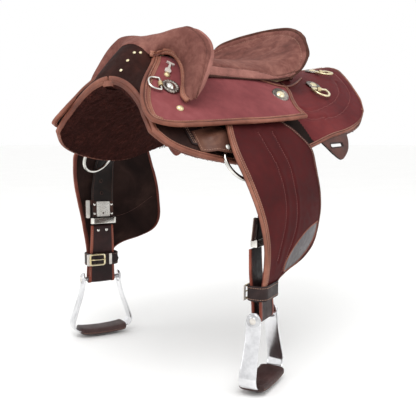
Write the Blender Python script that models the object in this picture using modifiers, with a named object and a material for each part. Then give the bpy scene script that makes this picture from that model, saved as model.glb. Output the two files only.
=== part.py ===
"""Half breed saddle: hornless swinging-fender saddle as separate pieces.

Frame: +Z up, pommel towards -Y, rider's left (near) side towards +X, mirror
plane X = 0.  Origin: underside of the panels at mid length, on the mirror plane.
Lengths in metres.  Drawing heights below are given from the drawing datum, which
lies DATUM under the origin.
"""
import bpy
import bmesh
import math
from mathutils import Vector, Matrix

# ---------------------------------------------------------------- dimensions
DATUM = 0.025            # drawing datum to origin
SKIRT_T = 0.005          # skirt thickness
PANEL_T = 0.013          # fleece panel thickness
JOCKEY_T = 0.0040        # seat jockey thickness
FENDER_T = 0.0040        # fender thickness
STRAP_T = 0.0030         # stirrup strap thickness
STRAP_W = 0.050          # stirrup strap width
TAIL_T = 0.0024          # hanger tail thickness
ROD_R = 0.0040           # stirrup bar radius
LEATHER_T = 0.0034       # lower leather thickness
LEATHER_W = 0.060        # lower leather width
BOLT_R = 0.0045          # stirrup bolt radius
IRON_T = 0.0040          # stirrup strip thickness
IRON_W = 0.030           # stirrup strip width
BOLT_C = (0.2285, -0.195, -0.3915)   # stirrup bolt centre, from the datum
YAW = math.radians(17.0)             # toe-out of the stirrup
SWING_Y = -0.170                     # fore-and-aft place of the fender hang
GAP = 0.0003


def lerp_table(table, y):
    """Smooth (monotone cubic) reading of a table of (position, value)."""
    n = len(table)
    if y <= table[0][0]:
        return table[0][1]
    if y >= table[-1][0]:
        return table[-1][1]
    xs = [p[0] for p in table]
    vs = [p[1] for p in table]
    i = max(k for k in range(n - 1) if xs[k] <= y)
    sec = [(vs[k + 1] - vs[k]) / (xs[k + 1] - xs[k]) for k in range(n - 1)]

    def slope(k):
        if k == 0:
            return sec[0]
        if k == n - 1:
            return sec[-1]
        a, b = sec[k - 1], sec[k]
        return 0.0 if a * b <= 0 else 2 * a * b / (a + b)
    h = xs[i + 1] - xs[i]
    t = (y - xs[i]) / h
    m0, m1 = slope(i) * h, slope(i + 1) * h
    return ((2 * t**3 - 3 * t**2 + 1) * vs[i] + (t**3 - 2 * t**2 + t) * m0
            + (-2 * t**3 + 3 * t**2) * vs[i + 1] + (t**3 - t**2) * m1)


# Top of the skirt: ridge height and steepness of its parabola along the length.
STEEP = [(-0.37, 4.90), (-0.30, 4.45), (-0.25, 4.15), (-0.15, 3.60), (-0.05, 3.00),
         (0.05, 2.66), (0.15, 2.65), (0.25, 2.85), (0.35, 3.10)]


def ridge(y):
    return 0.055 + 0.1 * y - 0.010 * (1.0 - (y / 0.35) ** 2)


def steep(y):
    return lerp_table(STEEP, y)


def skin(x, y):
    return ridge(y) - steep(y) * x * x


def skin_normal(x, y):
    e = 1e-4
    return Vector((-(skin(x + e, y) - skin(x - e, y)) / (2 * e),
                   -(skin(x, y + e) - skin(x, y - e)) / (2 * e), 1.0)).normalized()


def lift(x, y, h):
    """Point at normal height h over the top of the skirt (datum frame)."""
    return Vector((x, y, skin(x, y))) + skin_normal(x, y) * h


# ---------------------------------------------------------------- small maths
def spline(points, n):
    """n points evenly along a Catmull-Rom curve through the given points."""
    pts = [Vector(p) for p in points]
    ext = [2 * pts[0] - pts[1]] + pts + [2 * pts[-1] - pts[-2]]
    dense = []
    for i in range(1, len(ext) - 2):
        for k in range(16):
            t = k / 16.0
            a, b, c, d = ext[i - 1], ext[i], ext[i + 1], ext[i + 2]
            dense.append(0.5 * ((2 * b) + (c - a) * t + (2 * a - 5 * b + 4 * c - d) * t * t
                                + (3 * b - a - 3 * c + d) * t ** 3))
    dense.append(ext[-2].copy())
    dist = [0.0]
    for a, b in zip(dense, dense[1:]):
        dist.append(dist[-1] + (b - a).length)
    out, j = [], 0
    for i in range(n):
        s = dist[-1] * i / (n - 1)
        while j < len(dist) - 2 and dist[j + 1] < s:
            j += 1
        f = (s - dist[j]) / max(dist[j + 1] - dist[j], 1e-9)
        out.append(dense[j].lerp(dense[j + 1], min(max(f, 0.0), 1.0)))
    return out


def coons(inner, outer, front, rear, nu, nv):
    """Grid between four edge curves; u runs front to rear, v inner to outer."""
    ci, co = spline(inner, nu), spline(outer, nu)
    cf, cr = spline(front, nv), spline(rear, nv)
    grid = []
    for i in range(nu):
        u = i / (nu - 1)
        row = []
        for j in range(nv):
            v = j / (nv - 1)
            p = ((1 - v) * ci[i] + v * co[i] + (1 - u) * cf[j] + u * cr[j]
                 - ((1 - u) * (1 - v) * cf[0] + (1 - u) * v * cf[-1]
                    + u * (1 - v) * cr[0] + u * v * cr[-1]))
            row.append(p)
        grid.append(row)
    return grid


# ---------------------------------------------------------------- scene set-up
for ob in list(bpy.data.objects):
    bpy.data.objects.remove(ob)
saddle = bpy.data.collections.new("half_breed_saddle")
bpy.context.scene.collection.children.link(saddle)
cutters = bpy.data.collections.new("cutters")
bpy.context.scene.collection.children.link(cutters)

LOOKS = {
    "suede": ((0.27, 0.115, 0.090), 0.95, 0.0),
    "burgundy": ((0.26, 0.055, 0.065), 0.75, 0.0),
    "fleece": ((0.045, 0.016, 0.013), 1.0, 0.0),
    "dark_leather": ((0.050, 0.022, 0.018), 0.5, 0.0),
    "tan_leather": ((0.19, 0.065, 0.045), 0.55, 0.0),
    "strap_leather": ((0.020, 0.012, 0.010), 0.5, 0.0),
    "tree": ((0.35, 0.26, 0.16), 0.6, 0.0),
    "nickel": ((0.72, 0.70, 0.66), 0.25, 1.0),
    "brass": ((0.75, 0.60, 0.32), 0.30, 1.0),
    "antique": ((0.42, 0.38, 0.33), 0.35, 1.0),
    "cast_aluminium": ((0.70, 0.70, 0.71), 0.35, 1.0),
    "steel": ((0.55, 0.55, 0.56), 0.3, 1.0),
}


def finish_mat(name, look):
    colour, rough, metal = LOOKS[look]
    mat = bpy.data.materials.new(name)
    mat.use_nodes = True
    bsdf = mat.node_tree.nodes["Principled BSDF"]
    bsdf.inputs["Base Color"].default_value = (*colour, 1.0)
    bsdf.inputs["Roughness"].default_value = rough
    bsdf.inputs["Metallic"].default_value = metal
    return mat


def place(ob, name, look, collection=None):
    ob.name = name
    for col in list(ob.users_collection):
        col.objects.unlink(ob)
    (collection or saddle).objects.link(ob)
    if look:
        ob.data.materials.clear()
        ob.data.materials.append(finish_mat(name, look))
    return ob


def from_faces(name, verts, faces, look, smooth=True, origin=None):
    """Object from points in the datum frame, its origin at a chosen point."""
    o = Vector(origin) if origin is not None else Vector((0, 0, 0))
    o = o - Vector((0, 0, DATUM)) if origin is not None else o
    data = bpy.data.meshes.new(name)
    data.from_pydata([Vector(v) - Vector((0, 0, DATUM)) - o for v in verts], [], faces)
    bm = bmesh.new()
    bm.from_mesh(data)
    bmesh.ops.recalc_face_normals(bm, faces=bm.faces)
    bm.to_mesh(data)
    bm.free()
    if smooth:
        data.shade_smooth()
        data.set_sharp_from_angle(angle=math.radians(40))
    ob = bpy.data.objects.new(name, data)
    ob.location = o
    return place(ob, name, look)


def sheet(name, grid, thickness, look, up=Vector((0, 0, 1)), origin=None):
    """Open surface given thickness on the side away from `up`."""
    nu, nv = len(grid), len(grid[0])
    verts = [p for row in grid for p in row]
    faces = [(i * nv + j, (i + 1) * nv + j, (i + 1) * nv + j + 1, i * nv + j + 1)
             for i in range(nu - 1) for j in range(nv - 1)]
    o = Vector(origin) - Vector((0, 0, DATUM)) if origin is not None else Vector((0, 0, 0))
    data = bpy.data.meshes.new(name)
    data.from_pydata([Vector(v) - Vector((0, 0, DATUM)) - o for v in verts], [], faces)
    data.update()
    mid = data.polygons[len(data.polygons) // 2]
    if mid.normal.dot(up) < 0:
        data.flip_normals()
    data.shade_smooth()
    ob = bpy.data.objects.new(name, data)
    ob.location = o
    place(ob, name, look)
    solid = ob.modifiers.new("thickness", "SOLIDIFY")
    solid.thickness = thickness
    solid.offset = -1.0
    return ob


def loft(name, rings, look, origin=None, smooth=True):
    """Closed solid through rings of equal point counts."""
    n = len(rings[0])
    verts = [p for ring in rings for p in ring]
    faces = []
    for i in range(len(rings) - 1):
        for j in range(n):
            k = (j + 1) % n
            faces.append((i * n + j, i * n + k, (i + 1) * n + k, (i + 1) * n + j))
    faces.append(tuple(range(n)))
    faces.append(tuple((len(rings) - 1) * n + j for j in range(n)))
    return from_faces(name, verts, faces, look, smooth, origin)


def frame_matrix(origin, zdir, xdir):
    """Matrix with the given Z direction and X direction near xdir."""
    z = Vector(zdir).normalized()
    x = Vector(xdir)
    x = (x - z * x.dot(z)).normalized()
    y = z.cross(x)
    m = Matrix((x, y, z)).transposed().to_4x4()
    m.translation = Vector(origin) - Vector((0, 0, DATUM))
    return m


def plate(name, outlines, thickness, matrix, look, bevel=0.0):
    """Flat outline in the matrix's XY plane, from z 0 to its thickness."""
    curve = bpy.data.curves.new(name, "CURVE")
    curve.dimensions = "2D"
    curve.fill_mode = "BOTH"
    curve.extrude = thickness / 2
    for pts in outlines:
        sp = curve.splines.new("POLY")
        sp.points.add(len(pts) - 1)
        for p, q in zip(sp.points, pts):
            p.co = (q[0], q[1], 0.0, 1.0)
        sp.use_cyclic_u = True
    ob = bpy.data.objects.new(name, curve)
    ob.matrix_world = matrix @ Matrix.Translation((0, 0, thickness / 2))
    place(ob, name, look)
    if bevel:
        weld = ob.modifiers.new("weld", "WELD")
        weld.merge_threshold = 0.00005
        bev = ob.modifiers.new("edge", "BEVEL")
        bev.width = bevel
        bev.segments = 1
        bev.limit_method = "ANGLE"
    return ob


def wire(name, pts, radius, look, cyclic=False, origin=None, res=1):
    """Round wire through points of the datum frame."""
    curve = bpy.data.curves.new(name, "CURVE")
    curve.dimensions = "3D"
    curve.bevel_depth = radius
    curve.bevel_resolution = res
    curve.use_fill_caps = True
    o = Vector(origin) - Vector((0, 0, DATUM)) if origin is not None else Vector((0, 0, 0))
    sp = curve.splines.new("POLY")
    sp.points.add(len(pts) - 1)
    for p, q in zip(sp.points, pts):
        v = Vector(q) - Vector((0, 0, DATUM)) - o
        p.co = (v.x, v.y, v.z, 1.0)
    sp.use_cyclic_u = cyclic
    ob = bpy.data.objects.new(name, curve)
    ob.location = o
    return place(ob, name, look)


def turned(name, profile, matrix, look, steps=16):
    """Profile of (radius, height) pairs, from top centre down to bottom centre."""
    data = bpy.data.meshes.new(name)
    verts = [(r, 0.0, z) for r, z in profile]
    data.from_pydata(verts, [(i, i + 1) for i in range(len(verts) - 1)], [])
    ob = bpy.data.objects.new(name, data)
    ob.matrix_world = matrix
    place(ob, name, look)
    screw = ob.modifiers.new("turn", "SCREW")
    screw.steps = steps
    screw.render_steps = steps
    screw.use_merge_vertices = True
    screw.merge_threshold = 0.00005
    screw.use_smooth_shade = True
    return ob


def arc_pts(cx, cy, r, a0, a1, n):
    return [(cx + r * math.cos(math.radians(a0 + (a1 - a0) * i / (n - 1))),
             cy + r * math.sin(math.radians(a0 + (a1 - a0) * i / (n - 1)))) for i in range(n)]


MIRROR = Matrix.Diagonal((-1.0, 1.0, 1.0, 1.0))


def mirror_to_right(ob):
    """The same piece on the rider's right side."""
    twin = ob.copy()
    twin.data = ob.data.copy()
    name = ob.name.replace("left_", "right_", 1)
    place(twin, name, None)
    twin.data.materials.clear()
    mat = ob.data.materials[0].copy()
    mat.name = name
    twin.data.materials.append(mat)
    twin.matrix_world = MIRROR @ ob.matrix_world
    for mod in twin.modifiers:
        if mod.type == "BOOLEAN" and mod.object:
            cut = mod.object.copy()
            cut.data = mod.object.data.copy()
            cutters.objects.link(cut)
            cut.matrix_world = MIRROR @ mod.object.matrix_world @ MIRROR
            cut.hide_render = True
            cut.display_type = "WIRE"
            mod.object = cut
    return twin


left_pieces = []


def left(ob):
    left_pieces.append(ob)
    return ob


# ---------------------------------------------------------------- panels and skirts
INNER = 0.0030
SKIRT_OUTER = [(0.138, -0.362), (0.157, -0.340), (0.173, -0.303), (0.190, -0.247),
               (0.204, -0.190), (0.214, -0.130), (0.219, -0.060), (0.220, 0.020),
               (0.217, 0.090), (0.207, 0.155), (0.190, 0.203)]
SKIRT_REAR = [(INNER, 0.332), (0.045, 0.322), (0.085, 0.292), (0.130, 0.262), (0.165, 0.235),
              (0.190, 0.203)]
SKIRT_FRONT = [(INNER, -0.345), (0.050, -0.346), (0.095, -0.351), (0.120, -0.358),
               (0.138, -0.362)]
SKIRT_INNER = [(INNER, -0.345), (INNER, -0.10), (INNER, 0.12), (INNER, 0.332)]


def draped(height, grow, nu, nv):
    """Grid over the horse-shaped surface, its outline grown by `grow`."""
    flat = coons([(x, y, 0) for x, y in SKIRT_INNER],
                 [(x + grow * 0.8, y - grow * (0.6 if i < 3 else 0.0), 0)
                  for i, (x, y) in enumerate(SKIRT_OUTER)],
                 [(x, y - grow * 0.5, 0) if x > INNER else (x, y, 0) for x, y in SKIRT_FRONT[:-1]]
                 + [(SKIRT_OUTER[0][0] + grow * 0.8, SKIRT_OUTER[0][1] - grow * 0.6, 0)],
                 SKIRT_REAR_3(grow), nu, nv)
    return [[lift(p.x, p.y, height) for p in row] for row in flat]


def SKIRT_REAR_3(grow):
    pts = [(x, y + grow * 0.3 * (1 if x > INNER else 0), 0) for x, y in SKIRT_REAR[:-1]]
    return pts + [(SKIRT_OUTER[-1][0] + grow * 0.8, SKIRT_OUTER[-1][1], 0)]


left(sheet("left_skirt", draped(0.0, 0.0, 26, 10), SKIRT_T, "burgundy"))
panel_grid = draped(-0.0065, 0.003, 22, 9)
# the panels leave a channel along the spine between the ends
for i, row in enumerate(panel_grid):
    u = i / (len(panel_grid) - 1)
    open_w = 0.010 + 0.022 * math.sin(math.pi * u) ** 0.6
    for j, p in enumerate(row):
        v = j / (len(row) - 1)
        x = p.x + (open_w - INNER) * (1 - v) ** 2
        q = lift(x, p.y, -0.0065)
        row[j] = q
left(sheet("left_panel", panel_grid, PANEL_T, "fleece"))

# ---------------------------------------------------------------- seat jockeys
J_FRONT = [(0.046, -0.281, 0.0585), (0.0565, -0.2930, 0.0470), (0.0664, -0.3100, 0.0330),
           (0.0758, -0.3270, 0.0180), (0.0840, -0.3400, 0.0045), (0.0923, -0.3495, -0.0090),
           (0.1020, -0.3580, -0.0220), (0.1150, -0.3650, -0.0360), (0.1290, -0.3690, -0.0480),
           (0.1420, -0.3680, -0.0565)]
J_BOTTOM = [(0.142, -0.368, -0.0565), (0.153, -0.352, -0.0620), (0.163, -0.325, -0.0645),
            (0.176, -0.275, -0.0625), (0.190, -0.215, -0.0590), (0.201, -0.150, -0.0555),
            (0.208, -0.090, -0.0505), (0.212, -0.045, -0.0450)]
J_REAR = [(0.112, 0.010, 0.0235), (0.140, -0.004, 0.0060), (0.168, -0.030, -0.0125),
          (0.191, -0.046, -0.0280), (0.212, -0.045, -0.0450)]
J_TOP = [(0.046, -0.281, 0.0585), (0.058, -0.250, 0.0520), (0.074, -0.205, 0.0410),
         (0.090, -0.160, 0.0345), (0.102, -0.100, 0.0325), (0.109, -0.045, 0.0290),
         (0.112, 0.010, 0.0235)]
J_BULGE = 0.0028
jockey_grid = coons(J_TOP, J_BOTTOM, J_FRONT, J_REAR, 20, 9)
for i, row in enumerate(jockey_grid):
    for j in range(len(row)):
        swell = math.sin(math.pi * i / (len(jockey_grid) - 1)) * math.sin(math.pi * j / (len(row) - 1))
        row[j] = row[j] + Vector((0.6, 0.0, 0.8)) * (J_BULGE * swell ** 0.8)
left(sheet("left_jockey", jockey_grid, JOCKEY_T, "burgundy"))


def jockey_point(u, v):
    """Point and outward normal on the jockey's outer face."""
    g = jockey_grid
    a, b = u * (len(g) - 1), v * (len(g[0]) - 1)
    i, j = min(int(a), len(g) - 2), min(int(b), len(g[0]) - 2)
    fa, fb = a - i, b - j
    p = ((1 - fa) * (1 - fb) * g[i][j] + fa * (1 - fb) * g[i + 1][j]
         + (1 - fa) * fb * g[i][j + 1] + fa * fb * g[i + 1][j + 1])
    du = (1 - fb) * (g[i + 1][j] - g[i][j]) + fb * (g[i + 1][j + 1] - g[i][j + 1])
    dv = (1 - fa) * (g[i][j + 1] - g[i][j]) + fa * (g[i + 1][j + 1] - g[i + 1][j])
    n = du.cross(dv).normalized()
    return p, (n if n.z > 0 else -n), du.normalized(), dv.normalized()


def jockey_at(x, y):
    """Nearest (u, v) of the jockey to a place seen from above."""
    best = min(((jockey_point(a / 60, b / 40)[0], a / 60, b / 40)
                for a in range(61) for b in range(41)),
               key=lambda t: (t[0].x - x) ** 2 + (t[0].y - y) ** 2)
    return jockey_point(best[1], best[2])


# ---------------------------------------------------------------- the tree
BAR_TOP = 0.0095         # height of the tree bars' top over the skirt
BAR_END = 0.078          # rear end of the tree bars


def bar_grid(nu, nv):
    flat = coons([(0.036, -0.238, 0), (0.033, -0.10, 0), (0.036, 0.067, 0)],
                 [(0.101, -0.238, 0), (0.104, -0.10, 0), (0.078, 0.067, 0)],
                 [(0.036, -0.238, 0), (0.068, -0.240, 0), (0.101, -0.238, 0)],
                 [(0.036, 0.067, 0), (0.057, BAR_END, 0), (0.078, 0.067, 0)], nu, nv)
    return [[lift(p.x, p.y, BAR_TOP) for p in row] for row in flat]


left(sheet("left_tree_bar", bar_grid(14, 5), 0.0080, "tree"))

FORK_X = [-0.098, -0.080, -0.062, -0.046, -0.039, -0.026, -0.013, 0.0, 0.013, 0.026, 0.039,
          0.046, 0.062, 0.080, 0.098]


def fork_ring(x):
    """Front-bottom, front-top, rear-top and rear-bottom of the fork at x."""
    a = abs(x)
    arm = [(-0.314, 0.0030), (-0.312, 0.0120), (-0.252, 0.0120), (-0.249, 0.0030)]
    arm = [Vector((x, y, skin(a, y) + h)) for y, h in arm]
    if a > 0.042:
        return arm
    s = 1.0 - 0.16 * (a / 0.044) ** 2
    low_z = max(arm[0].z, 0.036 * s)
    crown = [Vector((x, -0.3205, low_z)), Vector((x, -0.2530, 0.0985 * s)),
             Vector((x, -0.2410, 0.0960 * s)), Vector((x, -0.2550, max(arm[3].z, 0.036 * s)))]
    return crown


loft("tree_fork", [fork_ring(x) for x in FORK_X], "tree", smooth=False)

# Pommel cover: a hood over the fork's crown, open underneath.
def cover_ring(x):
    a = abs(x) / 0.044
    s = 1.0 - 0.16 * a * a
    out = [(-0.332, 0.036), (-0.307, 0.057 + 0.006 * (1 - a * a)), (-0.277, 0.090 * s + 0.004), (-0.252, 0.112 * s + 0.002),
           (-0.238, 0.115 * s + 0.001), (-0.230, 0.106 * s), (-0.236, 0.080 * s), (-0.243, 0.050)]
    inn = [(-0.2465, 0.0505), (-0.2405, 0.078 * s), (-0.2355, 0.098 * s), (-0.2405, 0.109 * s),
           (-0.2500, 0.1055 * s), (-0.273, 0.084 * s), (-0.3035, 0.0525 + 0.006 * (1 - a * a)), (-0.3275, 0.034)]
    return [Vector((x, y, z)) for y, z in out + inn]


COVER_X = [-0.0435, -0.030, -0.015, 0.0, 0.015, 0.030, 0.0435]
loft("pommel_cover", [cover_ring(x) for x in COVER_X], "suede")

# Knee pads: the two wings of the pommel.
PAD_RIM = [(0.0450, -0.2375, 0.1095), (0.072, -0.2345, 0.1070), (0.100, -0.2330, 0.1010),
           (0.122, -0.2320, 0.0930), (0.141, -0.2340, 0.0780), (0.154, -0.2420, 0.0550),
           (0.159, -0.2560, 0.0290), (0.154, -0.2655, 0.0030), (0.145, -0.2730, -0.0180)]
PAD_FRONT = [(0.0450, -0.2880, 0.0665), (0.060, -0.2640, 0.0650), (0.080, -0.2490, 0.0520),
             (0.096, -0.2520, 0.0340), (0.107, -0.2600, 0.0180), (0.118, -0.2690, 0.0045),
             (0.126, -0.2760, -0.0065), (0.132, -0.2810, -0.0145), (0.137, -0.2835, -0.0215)]


def pad_rings(n_ring, n_sec, puff_out, puff_in):
    rim, front = spline(PAD_RIM, n_ring), spline(PAD_FRONT, n_ring)
    rings = []
    for i in range(n_ring):
        t = i / (n_ring - 1)
        c, a = (rim[i] + front[i]) / 2, (rim[i] - front[i]) / 2
        along = (rim[min(i + 1, n_ring - 1)] - rim[max(i - 1, 0)]).normalized()
        out = a.cross(along).normalized()
        if out.y > 0:
            out = -out
        swell = min(1.0, 0.55 + 1.6 * t, 0.42 + 2.2 * (1 - t))
        ring = []
        for k in range(n_sec):
            th = 2 * math.pi * k / n_sec
            s, co = math.sin(th), math.cos(th)
            ring.append(c + a * co * 0.98 + out * (s * (puff_out if s > 0 else puff_in) * swell))
        rings.append(ring)
    return rings


left(loft("left_knee_pad", pad_rings(14, 12, 0.020, 0.009), "suede"))

# ---------------------------------------------------------------- seat and cantle
# Lines of the seat's top from its front edge to the rim, middle to lower side edge.
SEAT_LINES = [
    [(0, -0.2300, 0.0790), (0, -0.180, 0.0710), (0, -0.120, 0.0675), (0, -0.050, 0.0680),
     (0, 0.005, 0.0745), (0, 0.055, 0.0930), (0, 0.098, 0.1230), (0, 0.1260, 0.1550)],
    [(0.030, -0.2290, 0.0770), (0.031, -0.180, 0.0700), (0.033, -0.120, 0.0668), (0.035, -0.050, 0.0672),
     (0.036, 0.005, 0.0738), (0.036, 0.052, 0.0920), (0.034, 0.092, 0.1210), (0.031, 0.1190, 0.1525)],
    [(0.056, -0.2240, 0.0700), (0.058, -0.178, 0.0660), (0.062, -0.120, 0.0640), (0.066, -0.055, 0.0655),
     (0.068, -0.005, 0.0725), (0.068, 0.040, 0.0890), (0.063, 0.080, 0.1170), (0.057, 0.1060, 0.1470)],
    [(0.076, -0.2160, 0.0610), (0.080, -0.170, 0.0585), (0.086, -0.120, 0.0570), (0.092, -0.060, 0.0590),
     (0.096, -0.015, 0.0665), (0.098, 0.025, 0.0820), (0.095, 0.058, 0.1060), (0.088, 0.0850, 0.1370)],
    [(0.090, -0.2090, 0.0500), (0.096, -0.165, 0.0480), (0.104, -0.115, 0.0465), (0.111, -0.065, 0.0480),
     (0.117, -0.025, 0.0560), (0.121, 0.008, 0.0700), (0.1225, 0.034, 0.0900), (0.1190, 0.0640, 0.1210)],
    [(0.098, -0.2060, 0.0400), (0.104, -0.165, 0.0385), (0.112, -0.115, 0.0380), (0.1195, -0.070, 0.0385),
     (0.1250, -0.036, 0.0430), (0.1300, -0.008, 0.0530), (0.1350, 0.020, 0.0680), (0.1400, 0.0540, 0.0870)],
    [(0.103, -0.2045, 0.0310), (0.109, -0.165, 0.0305), (0.117, -0.115, 0.0305), (0.1240, -0.075, 0.0310),
     (0.1290, -0.044, 0.0330), (0.1335, -0.018, 0.0390), (0.1380, 0.006, 0.0470), (0.1425, 0.0330, 0.0560)],
    [(0.1055, -0.2035, 0.0240), (0.111, -0.165, 0.0240), (0.1185, -0.115, 0.0243), (0.1250, -0.078, 0.0248),
     (0.1285, -0.052, 0.0252), (0.1310, -0.030, 0.0262), (0.1330, -0.012, 0.0280), (0.1345, 0.0020, 0.0310)],
]


def seat_net(nu, nv):
    lines = [spline(line, nu) for line in SEAT_LINES]
    return [spline([line[i] for line in lines], nv) for i in range(nu)]


SEAT_NU, SEAT_NV = 17, 12
NET = seat_net(SEAT_NU, SEAT_NV)


def net_normal(i, j):
    a, b = NET[min(i + 1, SEAT_NU - 1)][j], NET[max(i - 1, 0)][j]
    if j == 0:
        c = NET[i][1]
        d = Vector((-c.x, c.y, c.z))
    else:
        c, d = NET[i][min(j + 1, SEAT_NV - 1)], NET[i][j - 1]
    n = (a - b).cross(c - d).normalized()
    return n if n.z > 0 else -n


def seat_thick(i, j):
    u, v = i / (SEAT_NU - 1), j / (SEAT_NV - 1)
    return 0.0035 + 0.0065 * min(1.0, 5 * u, 6 * (1 - u), 4.5 * (1 - v))


def mirrored(p, sign):
    return Vector((p.x * sign, p.y, p.z))


seat_ring_list = []
for i in range(SEAT_NU):
    top, bottom = [], []
    for j in range(-(SEAT_NV - 1), SEAT_NV):
        sign = -1 if j < 0 else 1
        p, n = NET[i][abs(j)], net_normal(i, abs(j))
        top.append(mirrored(p, sign))
        bottom.append(mirrored(p - n * seat_thick(i, abs(j)), sign))
    seat_ring_list.append(top + bottom[::-1])
loft("seat", seat_ring_list, "suede")

# Cantle: the board under the seat's rim with its leather back.
CANTLE_J = 8


def cantle_ring(j):
    a = abs(j)
    sign = -1 if j < 0 else 1
    last = SEAT_NU - 1
    rim, rn = NET[last][a], net_normal(last, a)
    swing = math.radians(62.0) * (a / (SEAT_NV - 1)) ** 1.2
    out = Vector((math.sin(swing), math.cos(swing), 0.0))
    inner = []
    for i in (last, last - 1, last - 2, last - 3):
        inner.append(NET[i][a] - net_normal(i, a) * (seat_thick(i, a) + 0.0012))
    foot = inner[-1]
    thick = 0.0095 - 0.0035 * (a / CANTLE_J) ** 2
    top_out = inner[0] + out * thick
    ox, oy = rim.x - out.x * 0.006, rim.y - out.y * 0.010

    def base(x, y, over_bar):
        return skin(x, y) + (0.0128 if over_bar else 0.0016)
    near_bar = foot.x < 0.100
    y_step = min(max(0.0805, foot.y + 0.002), oy - 0.004)
    t = (y_step - foot.y) / max(oy - foot.y, 1e-6)
    mx = foot.x + (ox - foot.x) * t
    low_in = Vector((foot.x, foot.y, base(foot.x, foot.y, near_bar)))
    mid_a = Vector((mx, y_step, base(mx, y_step, near_bar)))
    mid_b = Vector((mx, y_step + 0.002, base(mx, y_step + 0.002, False)))
    low_out = Vector((ox, oy, base(ox, oy, False)))
    belly = Vector((ox * 0.62 + top_out.x * 0.38 + out.x * 0.003, oy * 0.62 + top_out.y * 0.38 + out.y * 0.003,
                    low_out.z * 0.62 + top_out.z * 0.38))
    ring = inner + [low_in, mid_a, mid_b, low_out, belly, top_out]
    return [mirrored(p, sign) for p in ring]


loft("cantle", [cantle_ring(j) for j in range(-CANTLE_J, CANTLE_J + 1)], "burgundy")

# ---------------------------------------------------------------- fender hang plane
SLOPE_X, SLOPE_Y = -1.04, 0.18
PLANE_REF = (0.160, SWING_Y, -0.0496)


def plane_z(x, y):
    return PLANE_REF[2] + SLOPE_X * (x - PLANE_REF[0]) + SLOPE_Y * (y - PLANE_REF[1])


N = Vector((-SLOPE_X, -SLOPE_Y, 1.0)).normalized()      # outward normal = swing axis
LATV = Vector((0.0, 1.0, SLOPE_Y)).normalized()         # across the hanger, along the rod
DOWN = LATV.cross(N)                                    # down the slope
if DOWN.x < 0:
    DOWN = -DOWN


def on_plane(x, y, h):
    return Vector((x, y, plane_z(x, y))) + N * h


ROD_X = 0.1260
ROD_C = on_plane(ROD_X, SWING_Y, TAIL_T / 2)
PIVOT = on_plane(0.1480, SWING_Y + 0.01004, 0.0)   # over the centre of mass, so the fender hangs plumb
ROD_HALF = 0.030         # half length of the bar's straight run
POST_H = BAR_TOP + ROD_R + 0.0014

# Stirrup bar: steel staple resting on the tree bar, carrying the hanger.
def post(sign):
    y = SWING_Y + sign * (ROD_HALF + 0.005)
    return [lift(x, y, POST_H) for x in (0.070, 0.079, 0.088, 0.097)]


rod_path = (post(-1) + [ROD_C - LATV * (ROD_HALF + 0.005) - DOWN * 0.008, ROD_C - LATV * ROD_HALF,
                        ROD_C + LATV * ROD_HALF, ROD_C + LATV * (ROD_HALF + 0.005) - DOWN * 0.008]
            + post(1)[::-1])
left(wire("left_stirrup_bar", rod_path, ROD_R, "steel"))

# Hanger: leather loop round the stirrup bar with a tail down the slope.
hang_m = frame_matrix(ROD_C, LATV, DOWN)
ro, ri = ROD_R + 0.0031, ROD_R + 0.0006
a_join = math.degrees(math.asin((TAIL_T / 2) / ro))
ring_out = arc_pts(0, 0, ro, a_join, 360 - a_join, 17)
TAIL_LEN = 0.058
hang_out = ring_out + [(TAIL_LEN, -TAIL_T / 2), (TAIL_LEN, TAIL_T / 2)]
hang_in = arc_pts(0, 0, ri, 0, 345, 16)
HANG_W = 0.050
left(plate("left_hanger", [hang_out, hang_in], HANG_W,
           hang_m @ Matrix.Translation((0, 0, -HANG_W / 2)), "strap_leather"))

# ---------------------------------------------------------------- fender
def section_dir(tilt, yaw):
    d = Vector((-math.sin(yaw), math.cos(yaw), tilt))
    return d.normalized()


def curve_at(points, t):
    """Catmull-Rom through the points, one unit of t a point."""
    n = len(points)
    i = min(int(t), n - 2)
    f = t - i
    b, c = Vector(points[i]), Vector(points[i + 1])
    a = Vector(points[i - 1]) if i else 2 * b - c
    d = Vector(points[i + 2]) if i + 2 < n else 2 * c - b
    return 0.5 * (2 * b + (c - a) * f + (2 * a - 5 * b + 4 * c - d) * f * f
                  + (3 * b - a - 3 * c + d) * f ** 3)


H_OUT = TAIL_T + GAP + STRAP_T + GAP + FENDER_T     # outer face over the plane
# Outer face of the fender: front edge, rear edge, bulge between them.
FSTAT = []
for x, qf, qr in ((0.152, -0.058, 0.058), (0.170, -0.069, 0.071), (0.188, -0.078, 0.083),
                  (0.205, -0.085, 0.095)):
    c = on_plane(x, SWING_Y, H_OUT)
    FSTAT.append((c + LATV * qf, c + LATV * qr, 0.0))
FSTAT += [(Vector(f), Vector(b), bulge) for f, b, bulge in (
    ((0.2262, -0.2600, -0.1200), (0.2290, -0.0570, -0.1040), 0.001),
    ((0.2370, -0.2555, -0.1440), (0.2310, -0.0440, -0.1380), 0.004),
    ((0.2465, -0.2485, -0.1720), (0.2305, -0.0320, -0.1700), 0.007),
    ((0.2530, -0.2400, -0.2000), (0.2295, -0.0245, -0.2000), 0.009),
    ((0.2565, -0.2305, -0.2310), (0.2270, -0.0225, -0.2310), 0.009),
    ((0.2570, -0.2235, -0.2600), (0.2225, -0.0245, -0.2600), 0.008),
    ((0.2560, -0.2200, -0.2820), (0.2205, -0.0320, -0.2820), 0.006),
    ((0.2540, -0.2180, -0.2990), (0.2205, -0.0510, -0.2990), 0.004),
    ((0.2520, -0.2170, -0.3120), (0.2260, -0.0860, -0.3110), 0.002),
    ((0.2505, -0.2165, -0.3220), (0.2320, -0.1250, -0.3190), 0.001),
    ((0.2490, -0.2165, -0.3320), (0.2330, -0.1530, -0.3300), 0.0),
    ((0.2475, -0.2170, -0.3420), (0.2320, -0.1610, -0.3420), 0.0),
    ((0.2465, -0.2175, -0.3520), (0.2312, -0.1630, -0.3520), 0.0))]


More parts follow.
